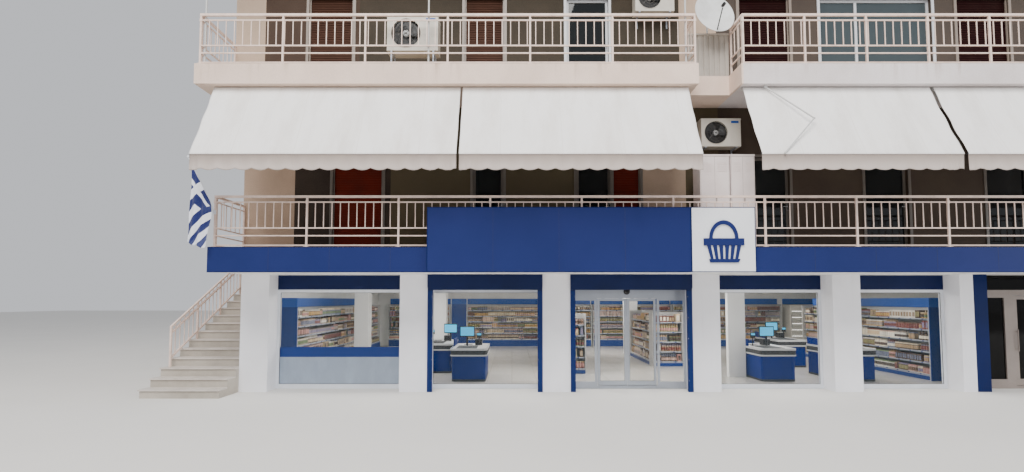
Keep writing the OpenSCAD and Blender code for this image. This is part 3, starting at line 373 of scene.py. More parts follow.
def worn(name, base, dirt, rough, scale, patches, streaks, grain, depth, top=50.0, fall=60.0, metal=0.0, coat=0.0,
         gloss=0.5, tiles=None, inside=None, zones=None, below=None, shade_discs=None):
    """A weathered finish. tiles lays them on what faces up, inside paints what is within the walls, zones change the
    colour along X, below gives a height and the colour under it, and discs gives round places (x, y, z, radius) and
    their colour, which is painted shade: the dark inside of a cooling unit seen round its fan."""
    made, net, shader, at = blank(name)
    if zones:
        ramp = net.node("ValToRGB", {0: net.spread(net.axes(at)["X"], -ZONE_REACH, ZONE_REACH)})
        ramp.color_ramp.interpolation = "CONSTANT"
        stops = ramp.color_ramp.elements
        for i, (start, colour) in enumerate(zones):
            place = (start + ZONE_REACH) / (2 * ZONE_REACH)
            stop = stops[i] if i < 2 else stops.new(place)
            stop.position, stop.color = place, shade(colour)
        base = ramp.outputs[0]
    if below:
        base = net.mix(net.under(net.axes(at)["Z"], below[0]), base, below[1])
    # painted shade: within each round place, in front of its y, the colour turns to the dark of the unit's shaded
    # inside
    for x, y, z, radius in shade_discs[0] if shade_discs else ():
        far = net.node("VectorMath", {0: net.stretched(at, 1.0, 0.0, 1.0), 1: (x, 0.0, z)}, operation="DISTANCE")
        share = net.times(net.under(far.outputs["Value"], radius), net.under(net.axes(at)["Y"], y))
        base = net.mix(share, base, shade_discs[1])
    if inside:
        mask = net.use(within(), {"Vector": at, "Reach": inside[0], "Front": inside[1], "Rear": inside[2]})
        base = net.mix(mask["Mask"], base, inside[3])
    soiled = net.use(weathering(), {"Vector": at, "Base": base, "Dirt": dirt, "Scale": scale, "Patches": patches,
                                    "Streaks": streaks, "Top": top, "Fall": fall, "Grain": grain})
    colour, height = soiled["Color"], soiled["Height"]
    if tiles:
        laid = net.use(tiling(), {"Vector": at, **dict(zip(("Size", "Base", "Second", "Joint"), tiles))})
        up = net.over(net.axes(net.node("NewGeometry").outputs["Normal"])["Z"], 0.5)
        colour = net.mix(up, colour, net.mix(net.times(soiled["Wear"], 0.4), laid["Color"], dirt))
        height = net.math("MULTIPLY_ADD", laid["Height"], up, height)
    net.feed(shader, {"Base Color": colour, "Roughness": net.spread(soiled["Wear"], 0.0, 1.0, *rough),
                      "Metallic": metal, "Coat Weight": coat, "Coat Roughness": 0.12, "Specular IOR Level": gloss,
                      "Normal": net.bump(height, depth)})
    return made


def glazing(name, colour, alpha, film, coat, gloss, beyond=None):
    """Glass as a tinted clear sheet with a faint film of dust. beyond gives an x, a z and the tint past both."""
    made, net, shader, at = blank(name)
    dust = net.spread(net.noise(net.stretched(at, 1.0, 1.0, 0.4), 2.2, 6.0, 0.65), 0.45, 0.8)
    if beyond:
        past = net.times(*(net.over(net.axes(at)[k], limit) for k, limit in zip("XZ", beyond)))
        colour = net.mix(past, colour, beyond[2])
    net.feed(shader, {"Base Color": colour, "Roughness": net.spread(dust, 0.0, 1.0, 0.02, 0.12),
                      "Alpha": net.math("MULTIPLY_ADD", dust, film, alpha, clamp=True),
                      "Specular IOR Level": gloss, "Coat Weight": coat, "Coat Roughness": 0.02})
    return made


def lit(name, colour, strength):
    """A lamp panel or a screen: an even glow, a little softer towards small dark specks."""
    made, net, shader, at = blank(name)
    speck = net.spread(net.noise(at, 30.0, 2.0), 0.3, 0.7, 0.9, 1.0)
    glow = net.mix(1.0, colour, net.grey(speck), "MULTIPLY")
    net.feed(shader, {"Base Color": glow, "Emission Color": glow, "Emission Strength": strength})
    return made


def cloth(name, base, dirt, threads, seams, stripes=None, corner=0.0, valance=None):
    """Woven cloth in its flat coordinates: threads, seams, rain marks, and if asked stripes of a second colour, with a
    corner of that colour parted by two crossing bands. valance gives a distance down, and the colours at the top and
    the hem of what hangs below it: painted shade that makes the whole valance darker than the run, darkest at its top
    as a painted shadow of the bar."""
    made, net, shader, _ = blank(name)
    flat = net.node("UVMap", uv_map="cloth").outputs[0]
    woven = net.use(weave(), {"Flat": flat, "Threads": threads, "Seams": seams})
    across, down = (net.axes(flat)[k] for k in "XY")
    colour = base
    if stripes:
        wide, second = stripes
        stripe = net.over(net.math("FRACT", net.times(across, 0.5 / wide)), 0.5)
        inner = net.times(*(net.under(way, corner) for way in (across, down)))
        off = (net.math("ABSOLUTE", net.math("SUBTRACT", way, corner / 2)) for way in (across, down))
        arm = net.over(net.math("MINIMUM", *off), wide / 2)
        colour = net.mix(net.math("MULTIPLY_ADD", inner, net.math("SUBTRACT", arm, stripe), stripe), base, second)
    # painted shade: below the given distance the cloth turns darker, from a painted shadow of the bar at the top to a
    # lighter hem
    if valance:
        start, shaded_top, hem = valance
        hanging = net.mix(net.spread(down, start, start + 0.24), shaded_top, hem)
        colour = net.mix(net.over(down, start), colour, hanging)
    stain = net.spread(net.noise(net.stretched(flat, 1.0, 0.22, 1.0), 1.6, 7.0, 0.62), 0.46, 0.85, 0.0, 0.55)
    colour = net.mix(net.math("MAXIMUM", stain, net.times(woven["Seam"], 0.15), clamp=True), colour, dirt)
    colour = net.mix(net.spread(woven["Slub"], 0.45, 0.8, 0.0, 0.12), colour, dirt)
    net.feed(shader, {"Base Color": colour, "Roughness": net.spread(woven["Slub"], 0.3, 0.8, 0.8, 0.95),
                      "Sheen Weight": 0.15, "Normal": net.bump(woven["Height"], 0.0008)})
    return made


def printed(name):
    """Packs, jars and bottles: their own tint with slightly rubbed print."""
    made, net, shader, at = blank(name)
    tint = net.node("Attribute", attribute_name="tint").outputs["Color"]
    mark = net.spread(net.noise(net.stretched(at, 1.0, 1.0, 2.5), 38.0, 3.0, 0.6), 0.52, 0.62, 0.0, 0.30)
    net.feed(shader, {"Base Color": net.mix(mark, tint, (228, 212, 184)),
                      "Roughness": net.spread(mark, 0.0, 0.35, 0.35, 0.55), "Coat Weight": 0.2})
    return made


def make_finishes(paint):
    """Every finish by its name."""
    grime, white, greige = (96, 84, 70), (226, 230, 236), (142, 130, 120)
    left = -ZONE_REACH
    # from the outer faces of the walls to within their plaster, at the sides and at the front and rear
    side_in, end_in = 0.24, 0.19
    rear, first_reach, second_reach = -FRONT - end_in, HALF_WIDTH - side_in, HALF_WIDTH_2 - side_in
    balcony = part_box("first_floor_slab")[0].y + 0.02
    flat_inside = (FRONT + end_in, rear, (232, 230, 224))
    terrace = (0.30, (196, 178, 156), (184, 164, 142), (120, 108, 96))
    cream = (paint.cream, grime, (0.8, 0.92), 0.7, 0.22, 0.4, 0.8, 0.003)
    olive = (paint.olive, grime, (0.8, 0.92), 0.7, 0.35, 0.45, 0.8, 0.003)
    # base, dirt, roughness clean and dirty, scale, patches, streaks, grain, depth; height and fall of the streaks
    rows = {
        "concrete": (paint.concrete, (128, 108, 88), (0.75, 0.9), 0.8, 0.35, 0.75, 0.7, 0.003),
        "slab": (paint.concrete, (140, 108, 84), (0.75, 0.92), 0.9, 0.26, 0.85, 0.7, 0.003, SECOND_FLOOR, 0.5),
        "roof": (paint.concrete, (120, 100, 80), (0.75, 0.92), 1.1, 0.5, 0.9, 0.8, 0.003, ROOF + 0.9, 1.4),
        "cream_plaster": cream, "first_cream": cream, "shop_plaster": cream,
        "first_plaster": (*olive, FIRST_FLOOR + 3.3, 3.3),
        "second_plaster": (*olive, SECOND_FLOOR + 3.4, 3.4),
        "column_paint": (paint.columns, (168, 166, 166), (0.5, 0.7), 1.2, 0.10, 0.14, 0.35, 0.0015, 0.45, 0.6),
        "blue_paint": ((2, 26, 80), (4, 14, 36), (0.5, 0.7), 1.2, 0.3, 0.3, 0.3, 0.001),
        "sign_panel": (paint.sign_blue, (12, 30, 72), (0.40, 0.6), 0.7, 0.28, 0.2, 0.15, 0.0006),
        "sign_white": ((240, 242, 246), (170, 172, 178), (0.35, 0.5), 0.9, 0.12, 0.15, 0.1, 0.0005),
        "navy_metal": ((2, 24, 74), (2, 10, 32), (0.5, 0.7), 1.3, 0.4, 0.35, 0.25, 0.0008),
        "white_metal": ((232, 236, 244), (150, 150, 150), (0.35, 0.55), 2.0, 0.12, 0.2, 0.15, 0.0004),
        "silver_metal": ((178, 184, 194), (120, 120, 124), (0.28, 0.5), 2.0, 0.2, 0.2, 0.15, 0.0004),
        "dark_metal": ((150, 138, 130), (70, 62, 58), (0.4, 0.6), 2.0, 0.25, 0.3, 0.2, 0.0005),
        "railing_paint": (paint.railings, (112, 66, 42), (0.45, 0.75), 7.0, 0.25, 0.2, 0.5, 0.0008),
        "ribbed_sheet": ((180, 172, 162), (110, 104, 94), (0.5, 0.7), 2.5, 0.35, 0.5, 0.3, 0.0008),
        "shutter_slats": ((70, 44, 34), (52, 36, 30), (0.6, 0.8), 2.5, 0.4, 0.4, 0.5, 0.0008),
        "unit_casing": ((210, 205, 194), (140, 128, 112), (0.4, 0.6), 2.5, 0.25, 0.3, 0.2, 0.0005),
        "frame_paint": (white, (120, 112, 104), (0.35, 0.55), 2.0, 0.15, 0.2, 0.15, 0.0004),
        "cabinet_paint": ((240, 228, 226), (160, 140, 130), (0.45, 0.65), 2.0, 0.25, 0.35, 0.2, 0.0006),
        "marble": ((208, 200, 192), (128, 118, 108), (0.35, 0.6), 2.4, 0.5, 0.4, 0.3, 0.0006),
        "stair_plaster": ((190, 182, 170), (104, 94, 82), (0.8, 0.92), 1.5, 0.5, 0.8, 0.9, 0.003),
        "floor_tile": ((200, 196, 188), (140, 136, 128), (0.22, 0.4), 0.8, 0.12, 0.0, 0.1, 0.0008),
        "white_paint": ((240, 240, 238), (180, 178, 172), (0.6, 0.75), 1.0, 0.1, 0.1, 0.3, 0.001),
        "shelf_metal": ((188, 187, 184), (130, 128, 124), (0.35, 0.5), 3.0, 0.15, 0.1, 0.15, 0.0003),
        "header_plastic": ((30, 84, 170), (8, 36, 88), (0.35, 0.5), 1.0, 0.2, 0.1, 0.1, 0.0003),
        "counter_plastic": ((0, 36, 114), (3, 18, 52), (0.4, 0.6), 1.5, 0.3, 0.1, 0.1, 0.0003),
        "black_plastic": ((28, 28, 30), (60, 58, 56), (0.4, 0.6), 6.0, 0.2, 0.1, 0.3, 0.0003),
        "rubber": ((34, 34, 36), (70, 68, 66), (0.7, 0.85), 8.0, 0.3, 0.2, 0.4, 0.0003),
        "fan_grey": ((54, 55, 57), (40, 38, 36), (0.5, 0.7), 5.0, 0.3, 0.2, 0.3, 0.0003),
        "bright_metal": ((196, 198, 202), (110, 104, 98), (0.2, 0.45), 6.0, 0.25, 0.2, 0.2, 0.0003),
        "counter_top": ((196, 196, 194), (140, 138, 136), (0.3, 0.5), 5.0, 0.2, 0.1, 0.15, 0.0003),
        "dish_paint": ((226, 228, 228), (128, 118, 104), (0.4, 0.6), 4.0, 0.3, 0.2, 0.2, 0.0004),
    }
    more = {
        "concrete": dict(tiles=terrace, inside=(HALF_WIDTH - 0.02, balcony, rear, (244, 244, 244))),
        "slab": dict(tiles=terrace, zones=[(left, paint.concrete), (0.43, (226, 219, 219))]),
        "roof": dict(tiles=(0.40, (176, 170, 160), (164, 158, 148), (110, 104, 98))),
        "cream_plaster": dict(inside=(second_reach, *flat_inside)),
        "first_cream": dict(inside=(first_reach, *flat_inside)),
        "shop_plaster": dict(inside=(first_reach, FRONT + 0.57, rear, (238, 238, 236))),
        "first_plaster": dict(inside=(second_reach, *flat_inside), zones=[
            # from x -9.165 a brown wall, its colour darkened nearly to black as painted shade
            (left, (204, 176, 153)), (-9.165, (32, 18, 10)), (-7.0, paint.olive), (-1.315, paint.cream),
            (-0.3, paint.olive), (0.43, (58, 45, 35)), (9.3, paint.cream)]),
        "second_plaster": dict(inside=(second_reach, *flat_inside), zones=[
            (left, paint.cream), (-9.89, (58, 38, 25)), (-7.78, (42, 34, 20)), (-0.42, paint.cream),
            # painted shade: from x 0.42 the right wing's cream wall is coloured a dark brown-grey
            (0.42, (64, 54, 48)), (9.7, paint.cream)]),
        "blue_paint": dict(gloss=0.15),
        "sign_panel": dict(gloss=0.1),
        "sign_white": dict(coat=0.1),
        "navy_metal": dict(gloss=0.25, below=(GROUND_SOFFIT - 0.365, (6, 38, 100))),
        "silver_metal": dict(metal=0.35),
        "bright_metal": dict(metal=0.9),
        "shutter_slats": dict(gloss=0.1, zones=[(left, (70, 45, 34)), (-0.2, (32, 3, 5))],
                              below=(SECOND_FLOOR - 0.3, (104, 34, 22))),
        # painted shade: a dark disc on the front of each cooling unit round its fan, for its shaded inside
        "unit_casing": dict(shade_discs=([(x + w * FAN_SIDE, y + 0.065, z + h / 2, h * 0.405)
                                    for (x, y, z), (w, d, h) in UNITS], (34, 34, 36))),
        "frame_paint": dict(zones=[(left, greige), (-3.1, white), (-1.9, greige), (2.7, white), (5.6, greige)],
                            # painted shade: below the second floor the frames are coloured a darker grey-brown, for the
                            # shade under balconies and awnings
                            below=(SECOND_FLOOR - 0.3, (104, 98, 92))),
        "floor_tile": dict(tiles=(0.60, (198, 194, 187), (190, 186, 178), (138, 134, 128))),
        "header_plastic": dict(gloss=0.4, below=(SHOP_FLOOR + 1.79, (10, 52, 124))),
        "counter_plastic": dict(gloss=0.06),
    }
    hanging = float(np.linalg.norm(BAR - ROLLER)) + 0.03
    made = {name: worn(name, *row, **more.get(name, {})) for name, row in rows.items()}
    for name, make, *values in (
            ("clear_glass", glazing, (120, 140, 150), 0.04, 0.02, 0.6, 0.6),
            # painted shade: the flats' window glass and the entrance glass are nearly opaque and near black, for the
            # shaded rooms behind them
            ("dark_glass", glazing, (20, 24, 26), 0.94, 0.05, 0.1, 0.35, (2.5, SECOND_FLOOR - 0.2, (68, 78, 82))),
            ("entrance_glass", glazing, (12, 11, 10), 0.97, 0.03, 0.0, 0.15),
            ("frosted", glazing, (158, 172, 190), 0.78, 0.2, 0.3, 0.5),
            ("lamp", lit, (1.0, 0.98, 0.94, 1.0), 2.5), ("display", lit, (50, 170, 215), 0.9), ("goods", printed),
            # the two valance colours are painted shade: the top as the bar's painted shadow, the hem a little lighter
            ("awning_fabric", cloth, paint.awning, (176, 164, 150), 420.0, 1.18, None, 0.0,
             (hanging, (146, 132, 124), (196, 183, 176))),
            ("flag_fabric", cloth, (236, 238, 246), (150, 160, 190), 900.0, 40.0, (paint.flag_stripe, (2, 22, 92)),
             0.52)):
        made[name] = make(name, *values)
    return made


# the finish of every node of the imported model
FINISH_OF = {node: finish for finish, nodes in {
    "floor_tile": "shop_floor", "column_paint": "front_columns", "concrete": "first_floor_slab",
    "shop_plaster": "ground_left_wall ground_rear_wall ground_right_wall", "first_plaster": "first_front_wall",
    "first_cream": "first_left_wall first_rear_wall first_right_wall", "slab": "second_floor_slab",
    "second_plaster": "second_front_wall", "roof": "roof_slab parapet",
    "cream_plaster": "second_left_wall second_rear_wall second_right_wall", "white_metal": "shop_frames flag_pole",
    "clear_glass": "shop_glass left_door_glass right_door_glass", "navy_metal": "header_panels roller_boxes",
    "silver_metal": "sliding_door_frame left_door_leaf right_door_leaf cooling_brackets",
    "dark_metal": "entrance_frame entrance_leaf", "entrance_glass": "entrance_glass entrance_leaf_glass",
    "blue_paint": "blue_pilaster", "sign_panel": "sign_bands main_sign", "sign_white": "square_sign",
    "railing_paint": "first_railing second_railing_left second_railing_right stair_railing",
    "ribbed_sheet": "recess_screen", "shutter_slats": "roller_shutters", "frame_paint": "window_frames",
    "dark_glass": "window_glass", "awning_fabric": "awning_cloth", "counter_top": "awning_hardware",
    "unit_casing": "cooling_units glass_coolers", "dish_paint": "satellite_dish", "cabinet_paint": "cabinets",
    "stair_plaster": "side_stair", "marble": "stair_treads", "flag_fabric": "flag", "white_paint": "inner_pillars",
    "shelf_metal": "wall_shelves floor_shelves", "header_plastic": "shelf_headers", "counter_plastic": "checkouts",
    "black_plastic": "till_screens",
}.items() for node in nodes.split()}
finishes = {}


# ---- settings


def colour_setting(name, what, *colour):
    return FloatVectorProperty(name=name, description="Colour of the " + what, subtype="COLOR", size=4, min=0, max=1,
                               default=screen(*colour))


def number_setting(name, description, default, high, low=0.0, unit="LENGTH"):
    return FloatProperty(name=name, description=description, default=default, min=low, max=high, unit=unit)


class PaintSettings(bpy.types.PropertyGroup):
    concrete: colour_setting("Concrete", "slab edges", 236, 213, 197)
    cream: colour_setting("Cream plaster", "side walls and piers", 193, 169, 148)
    olive: colour_setting("Olive plaster", "walls behind the balconies", 78, 68, 46)
    columns: colour_setting("Columns", "shopfront's columns", 248, 248, 253)
    railings: colour_setting("Railings", "railings", 238, 215, 202)
    sign_blue: colour_setting("Sign", "signs", 36, 46, 98)
    awning: colour_setting("Awnings", "awning cloth", 249, 247, 245)
    flag_stripe: number_setting("Flag stripe", "Width of a stripe of the flag", 0.10, 0.5, 0.02)


class AwningSettings(bpy.types.PropertyGroup):
    sag: number_setting("Sag", "How far the cloth sags between roller and bar", 0.018, 0.05)
    scallop: number_setting("Scallop", "Length of one scallop of the valance", 0.32, 1.0, 0.1)
    lobe: number_setting("Lobe", "Depth of a scallop", 0.04, 0.1)


class GoodsSettings(bpy.types.PropertyGroup):
    seed: IntProperty(name="Seed", description="Another number gives another arrangement of the goods", min=0,
                      default=7)


class StageSettings(bpy.types.PropertyGroup):
    sky: number_setting("Sky", "Strength of the even light from all round", 0.72, 5.0, unit="NONE")
    key: number_setting("Key light", "Power of the large soft light in front", 12500, 20000, unit="POWER")
    shop: number_setting("Shop light", "Power of each soft light inside the shop", 100, 2000, unit="POWER")
    lens: number_setting("Lens", "Focal length on a 36 mm wide sensor", 19.6875, 100, 8.0, "CAMERA")


def settings():
    return bpy.context.scene.supermarket


# ---- pieces


FLOOR_REACH = 90.0
EYE, EYE_PITCH, EYE_SHIFT = (-4.2, -18.5, 2.028), 93.27, 32 / 1024
SHOP_LIGHTS = [(-7.6, -3.6), (-3.8, -3.6), (-0.2, -3.6), (3.8, -3.6), (-6.5, 2.2), (-0.5, 2.6), (5.0, 2.2)]


class SUPERMARKET_OT_stage(bpy.types.Operator):
    """Floor, soft light and the camera at the photograph's viewing angle"""
    bl_idname = "supermarket.stage"
    bl_label = "Stage"

    def execute(self, context):
        choice = settings().stage
        floor = bpy.data.meshes.new("stage_floor")
        corners = [(-1, -1), (1, -1), (1, 1), (-1, 1)]
        floor.from_pydata([(x * FLOOR_REACH, y * FLOOR_REACH, 0) for x, y in corners], [], [(0, 1, 2, 3)])
        made, net, shader, at = blank("stage_floor")
        tone = net.mix(net.spread(net.noise(at, 0.4), 0.3, 0.7), (214, 212, 208), (218, 216, 212))
        net.feed(shader, {"Base Color": tone, "Roughness": 0.9})
        floor.materials.append(made)
        placed("stage_floor", floor)
        world = bpy.data.worlds.new("stage_sky")
        context.scene.world = world
        world.use_nodes = True
        back = world.node_tree.nodes["Background"].inputs
        back["Color"].default_value, back["Strength"].default_value = (0.93, 0.95, 1.0, 1.0), choice.sky
        self.area("key_light", (-7.0, -24.0, 26.0), (0.0, -5.0, 4.0), 18.0, choice.key, (1.0, 0.98, 0.95))
        self.area("fill_light", (30.0, -21.0, 9.0), (2.0, -5.0, 3.0), 12.0, choice.key * 0.30, (0.95, 0.97, 1.0))
        for i, place in enumerate(SHOP_LIGHTS):
            self.area("shop_light_%d" % i, (*place, GROUND_SOFFIT - 0.12), (*place, 0.0), 1.8, choice.shop,
                      (1.0, 0.99, 0.96))
        lens = bpy.data.cameras.new("camera")
        lens.lens, lens.sensor_width, lens.shift_y, lens.clip_end = choice.lens, 36.0, EYE_SHIFT, 400.0
        eye = placed("camera", lens)
        eye.location, eye.rotation_euler = EYE, (math.radians(EYE_PITCH), 0.0, 0.0)
        context.scene.camera = eye
        return {"FINISHED"}

    def area(self, name, place, aim, size, power, colour):
        """A square light at a place, turned to what it is aimed at."""
        light = bpy.data.lights.new(name, "AREA")
        light.size, light.energy, light.color = size, power, colour
        thing = placed(name, light)
        x, y, z = np.subtract(aim, place)
        thing.location = place
        thing.rotation_euler = (math.atan2(math.hypot(x, y), -z), 0.0, math.atan2(y, x) - math.pi / 2)


class SUPERMARKET_OT_finishes(bpy.types.Operator):
    """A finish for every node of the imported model"""
    bl_idname = "supermarket.finishes"
    bl_label = "Finishes"

    def execute(self, context):
        finishes.update(make_finishes(settings().paint))
        for name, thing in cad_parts.items():
            for slot in thing.material_slots:
                slot.material = finishes[FINISH_OF[name]]
        return {"FINISHED"}


# places in a side view: y, z
ROLLER = np.array([FRONT - 1.25, SECOND_SOFFIT - 0.047])
BAR = ROLLER + (-0.82, -1.55)
ROLLER_R, BAR_R, CLOTH_GAP, VALANCE = 0.045, 0.025, 0.004, 0.32
# angle round the bar at which the valance leaves it
UNDER = math.pi + 1.0
# spacing of the columns of points, and the rows on the run, round the bar and down the valance
COLUMN, RUN_ROWS, ARC_ROWS, HANG_ROWS = 0.028, 44, 8, 14
# left edge and width of each awning
AWNINGS = [(-10.28, 5.03), (-5.20, 4.60), (0.51, 3.81), (4.40, 5.88)]


def awning_surface(start, width, choice, phase):
    """Cloth as a surface of distance along the bar and distance from the roller.

    The straight run lies on the line that touches roller and bar, and sags square to it by sag x sin(pi t). It turns
    round the bar on an arc to behind its front, and the valance hangs from there to a scalloped hem:
    drop = depth - lobe x (1 - |sin(pi x / scallop)|). Ripples are sines across the width that fade towards roller and
    bar, and gathers near both ends of the valance."""
    fall = BAR - ROLLER
    length = np.linalg.norm(fall)
    lean = math.asin((ROLLER_R - BAR_R) / length)
    square = math.cos(lean) * np.array([fall[1], -fall[0]]) / length + math.sin(lean) * fall / length
    wrap = BAR_R + CLOTH_GAP
    top, end = ROLLER + (ROLLER_R + CLOTH_GAP) * square, BAR + wrap * square
    run, turn = np.linalg.norm(end - top), math.atan2(square[1], square[0])
    x, turns = np.linspace(0.0, width, int(width / COLUMN)), 2 * math.pi
    t, s = np.linspace(0.0, 1.0, RUN_ROWS)[:, None], np.linspace(0.0, 1.0, HANG_ROWS)[1:, None]
    ends, loose = np.minimum(x, width - x), 4 * t * (1 - t)
    ripple = (0.0045 * np.sin(turns * x / 0.83 + phase) * np.sin(math.pi * t)
              + 0.006 * np.sin(turns * (x / 1.18 + 0.35 * t) + phase) * loose
              + 0.011 * np.exp(-ends / 0.35) * np.sin(16 * t + 9 * ends) * loose)
    off = ripple - choice.sag * np.sin(math.pi * t)
    straight = (top + t * (end - top))[:, None] + off[..., None] * square
    angles = np.linspace(turn, UNDER, ARC_ROWS)[1:, None]
    arc = BAR + wrap * np.concatenate([np.cos(angles), np.sin(angles)], 1)
    seat = arc[-1]
    depth = VALANCE + seat[1] - BAR[1]
    drop = depth - choice.lobe * (1 - np.abs(np.sin(math.pi * (x + 0.1) / choice.scallop)) ** 0.8)
    fold = (0.010 * np.sin(turns * x / choice.scallop + phase) + 0.026 * np.exp(-ends / 0.30) * np.sin(turns * x / 0.10)
            + 0.005 * np.sin(turns * x / 0.27 + 2 * phase) * np.sin(turns * x / 2.3))
    hang = np.stack([seat[0] - 0.003 * s + fold * s ** 1.2, seat[1] - s * drop], -1)
    yz = np.concatenate([straight, np.repeat(arc[:, None], len(x), 1), hang])
    points = np.concatenate([np.broadcast_to((start + x)[:, None], (*yz.shape[:2], 1)), yz], -1)
    round_bar = wrap * (UNDER - turn)
    down = np.concatenate([t * run, run + wrap * (angles - turn), run + round_bar + s * depth])
    size = (width, run + round_bar + depth)
    area = float(width * (size[1] - depth) + width * drop.mean())
    return points, grid_faces(len(yz), len(x)), np.stack(np.broadcast_arrays(x + 0.4, down), -1), size, area


def thicken(thing, thickness):
    """Even wall on a single surface, half on each side of it."""
    wall = thing.modifiers.new("wall", "SOLIDIFY")
    wall.thickness, wall.offset = thickness, 0.0


class SUPERMARKET_OT_awnings(bpy.types.Operator):
    """The four awnings as sagging cloth with scalloped valances, and turned caps on both ends of every front bar"""
    bl_idname = "supermarket.awnings"
    bl_label = "Awnings"

    def execute(self, context):
        caps, profile = [], [(0.0, 0.0), (0.027, 0.0), (0.027, 0.012), (0.018, 0.02), (0.0, 0.02)]
        for i, (start, width) in enumerate(AWNINGS):
            points, faces, flat, size, area = awning_surface(start, width, settings().awnings, 1.7 * i)
            thing = piece("awning_sheet_%d" % (i + 1), (points, faces), "awning_fabric", smooth=True,
                          uv=flat)
            thicken(thing, 0.002)
            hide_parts("awning_cloth")
            caps += [lathe(profile, (x - way * 0.012, *BAR), (way, 0, 0))
                     for x, way in ((start, -1), (start + width, 1))]
        piece("awning_bar_caps", join(caps), "black_plastic", mend=True)
        return {"FINISHED"}


class SUPERMARKET_OT_flag(bpy.types.Operator):
    """The flag, hanging in folds from its slanting pole"""
    bl_idname = "supermarket.flag"
    bl_label = "Flag"

    def execute(self, context):
        """Point = left edge x (1 - p) + right edge x p, both running down with q, moved towards the street by pleats
        that deepen downwards and a crease near the right edge. The flat coordinates lean, so the stripes fall to the
        left."""
        low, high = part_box("flag")
        tall, count = high.z - low.z, 90
        p, q = np.meshgrid(np.linspace(0.0, 1.0, count), np.linspace(0.0, 1.0, count), indexing="ij")
        left = (low.x + 0.10 - 0.035 * q + 0.012 * np.sin(5 * q), high.z - 0.10 - (tall - 0.24) * q)
        right = (high.x - 0.01 - 0.12 * q ** 1.6 - 0.05 * np.exp(-q / 0.10), high.z - 0.80 - (tall - 0.82) * q)
        x, z = (a * (1 - p) + b * p for a, b in zip(left, right))
        grow = np.minimum(1.0, 0.35 + 1.8 * q)
        pleat = 0.022 * np.sin(2 * math.pi * (2.3 * p + 0.25 * q)) + 0.012 * np.exp(-((p - 0.72) / 0.06) ** 2)
        points = np.stack([x + 0.010 * np.sin(9 * q + 5 * p) * grow, (low.y + high.y) / 2 + pleat * grow,
                           z + 0.014 * np.sin(2 * math.pi * 2.3 * p) * q], -1)
        thing = piece("flag_sheet", (points, grid_faces(count, count)), "flag_fabric", smooth=True,
                      uv=np.stack([0.44 * p + 0.66 * q, 1.25 * q], -1))
        thicken(thing, 0.0012)
        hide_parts("flag")
        return {"FINISHED"}


# depth of a base, how far the boards stand back from it, and their thickness
SHELF_D, BOARD_IN, BOARD = 0.45, 0.06, 0.03
# mean length of a block of like packs, length and spacing of the tags, and bare ends of the rails
BLOCK, TAG, TAG_STEP, RAIL_END = 0.38, 0.06, 0.42, 0.03
REAR = -FRONT - 0.2
# direction along a run, and towards the shopper
TO_STREET, TO_RIGHT, TO_LEFT = ((1, 0), (0, -1)), ((0, 1), (1, 0)), ((0, -1), (-1, 0))
# height, height of the base and number of levels
WALL, AISLE, ISLAND = (1.78, 0.32, 6), (1.78, 0.15, 6), (1.60, 0.15, 5)
# start corner, facing, length, kind
RUNS = {
    "rear_left": ((-9.45, REAR), TO_STREET, 2.6, WALL),
    "rear_middle": ((-6.12, REAR), TO_STREET, 5.3, WALL),
    "rear_door": ((-0.77, REAR), TO_STREET, 3.37, WALL),
    "rear_right": ((2.65, REAR), TO_STREET, 4.6, WALL),
    "left_side": ((-HALF_WIDTH + 0.25, FRONT + 1.5), TO_RIGHT, 8.8, WALL),
    "right_aisle": ((6.45, FRONT + 7.26), TO_LEFT, 6.0, AISLE),
    "island_a_end": ((-3.12, FRONT + 3.0), TO_STREET, 0.9, ISLAND),
    "island_a_left": ((-2.67, FRONT + 6.6), TO_LEFT, 3.6, ISLAND),
    "island_a_right": ((-2.67, FRONT + 3.0), TO_RIGHT, 3.6, ISLAND),
    "island_b_end": ((-0.02, FRONT + 4.65), TO_STREET, 0.9, ISLAND),
    "island_b_left": ((0.43, FRONT + 7.45), TO_LEFT, 2.8, ISLAND),
    "island_b_right": ((0.43, FRONT + 4.65), TO_RIGHT, 2.8, ISLAND),
}
PACK_COLOURS = np.array([screen(*c)[:3] for c in (
    (226, 210, 178), (232, 226, 214), (196, 140, 132), (140, 132, 80), (190, 150, 80), (70, 46, 38), (120, 50, 46),
    (130, 118, 150), (96, 104, 130), (176, 146, 106), (96, 120, 72), (214, 188, 150), (104, 74, 54), (206, 170, 156),
    (150, 124, 96), (236, 224, 200), (84, 60, 48), (164, 150, 140), (60, 44, 38))])


def pack_templates():
    """Unit shapes on their base, each with its points' colour number: a carton with a label, a jar with a lid, and a
    bottle. The last two are six-sided: point = (radius cos t, radius sin t, height)."""
    points, faces = join([boxes([[-0.5, -0.5, 0], [0.5, 0.5, 1.0]]), boxes([[-0.36, -0.52, 0.2], [0.36, -0.49, 0.8]])])
    made = [(points, np.array(faces), np.repeat([0, 1], 8))]
    t = np.arange(6) * math.pi / 3
    jar = [(0.5, 0), (0.5, 0.18), (0.51, 0.18), (0.51, 0.70), (0.5, 0.70), (0.5, 0.8), (0.44, 0.84), (0.44, 1.0)]
    bottle = [(0.48, 0), (0.48, 0.16), (0.5, 0.16), (0.5, 0.50), (0.48, 0.50), (0.46, 0.60), (0.18, 0.82), (0.18, 1.0)]
    for profile in (jar, bottle):
        r, z = np.array(profile).T[..., None]
        last = 6 * len(profile) - 6
        ends = [[3, 2, 1, 0], [5, 4, 3, 0], [last, last + 1, last + 2, last + 3], [last, last + 3, last + 4, last + 5]]
        made.append((np.stack([r * np.cos(t), r * np.sin(t), np.repeat(z, 6, 1)], -1).reshape(-1, 3),
                     np.concatenate([grid_faces(len(profile), 6, True), ends]), np.repeat([0, 1, 0, 2], 12)))
    return made


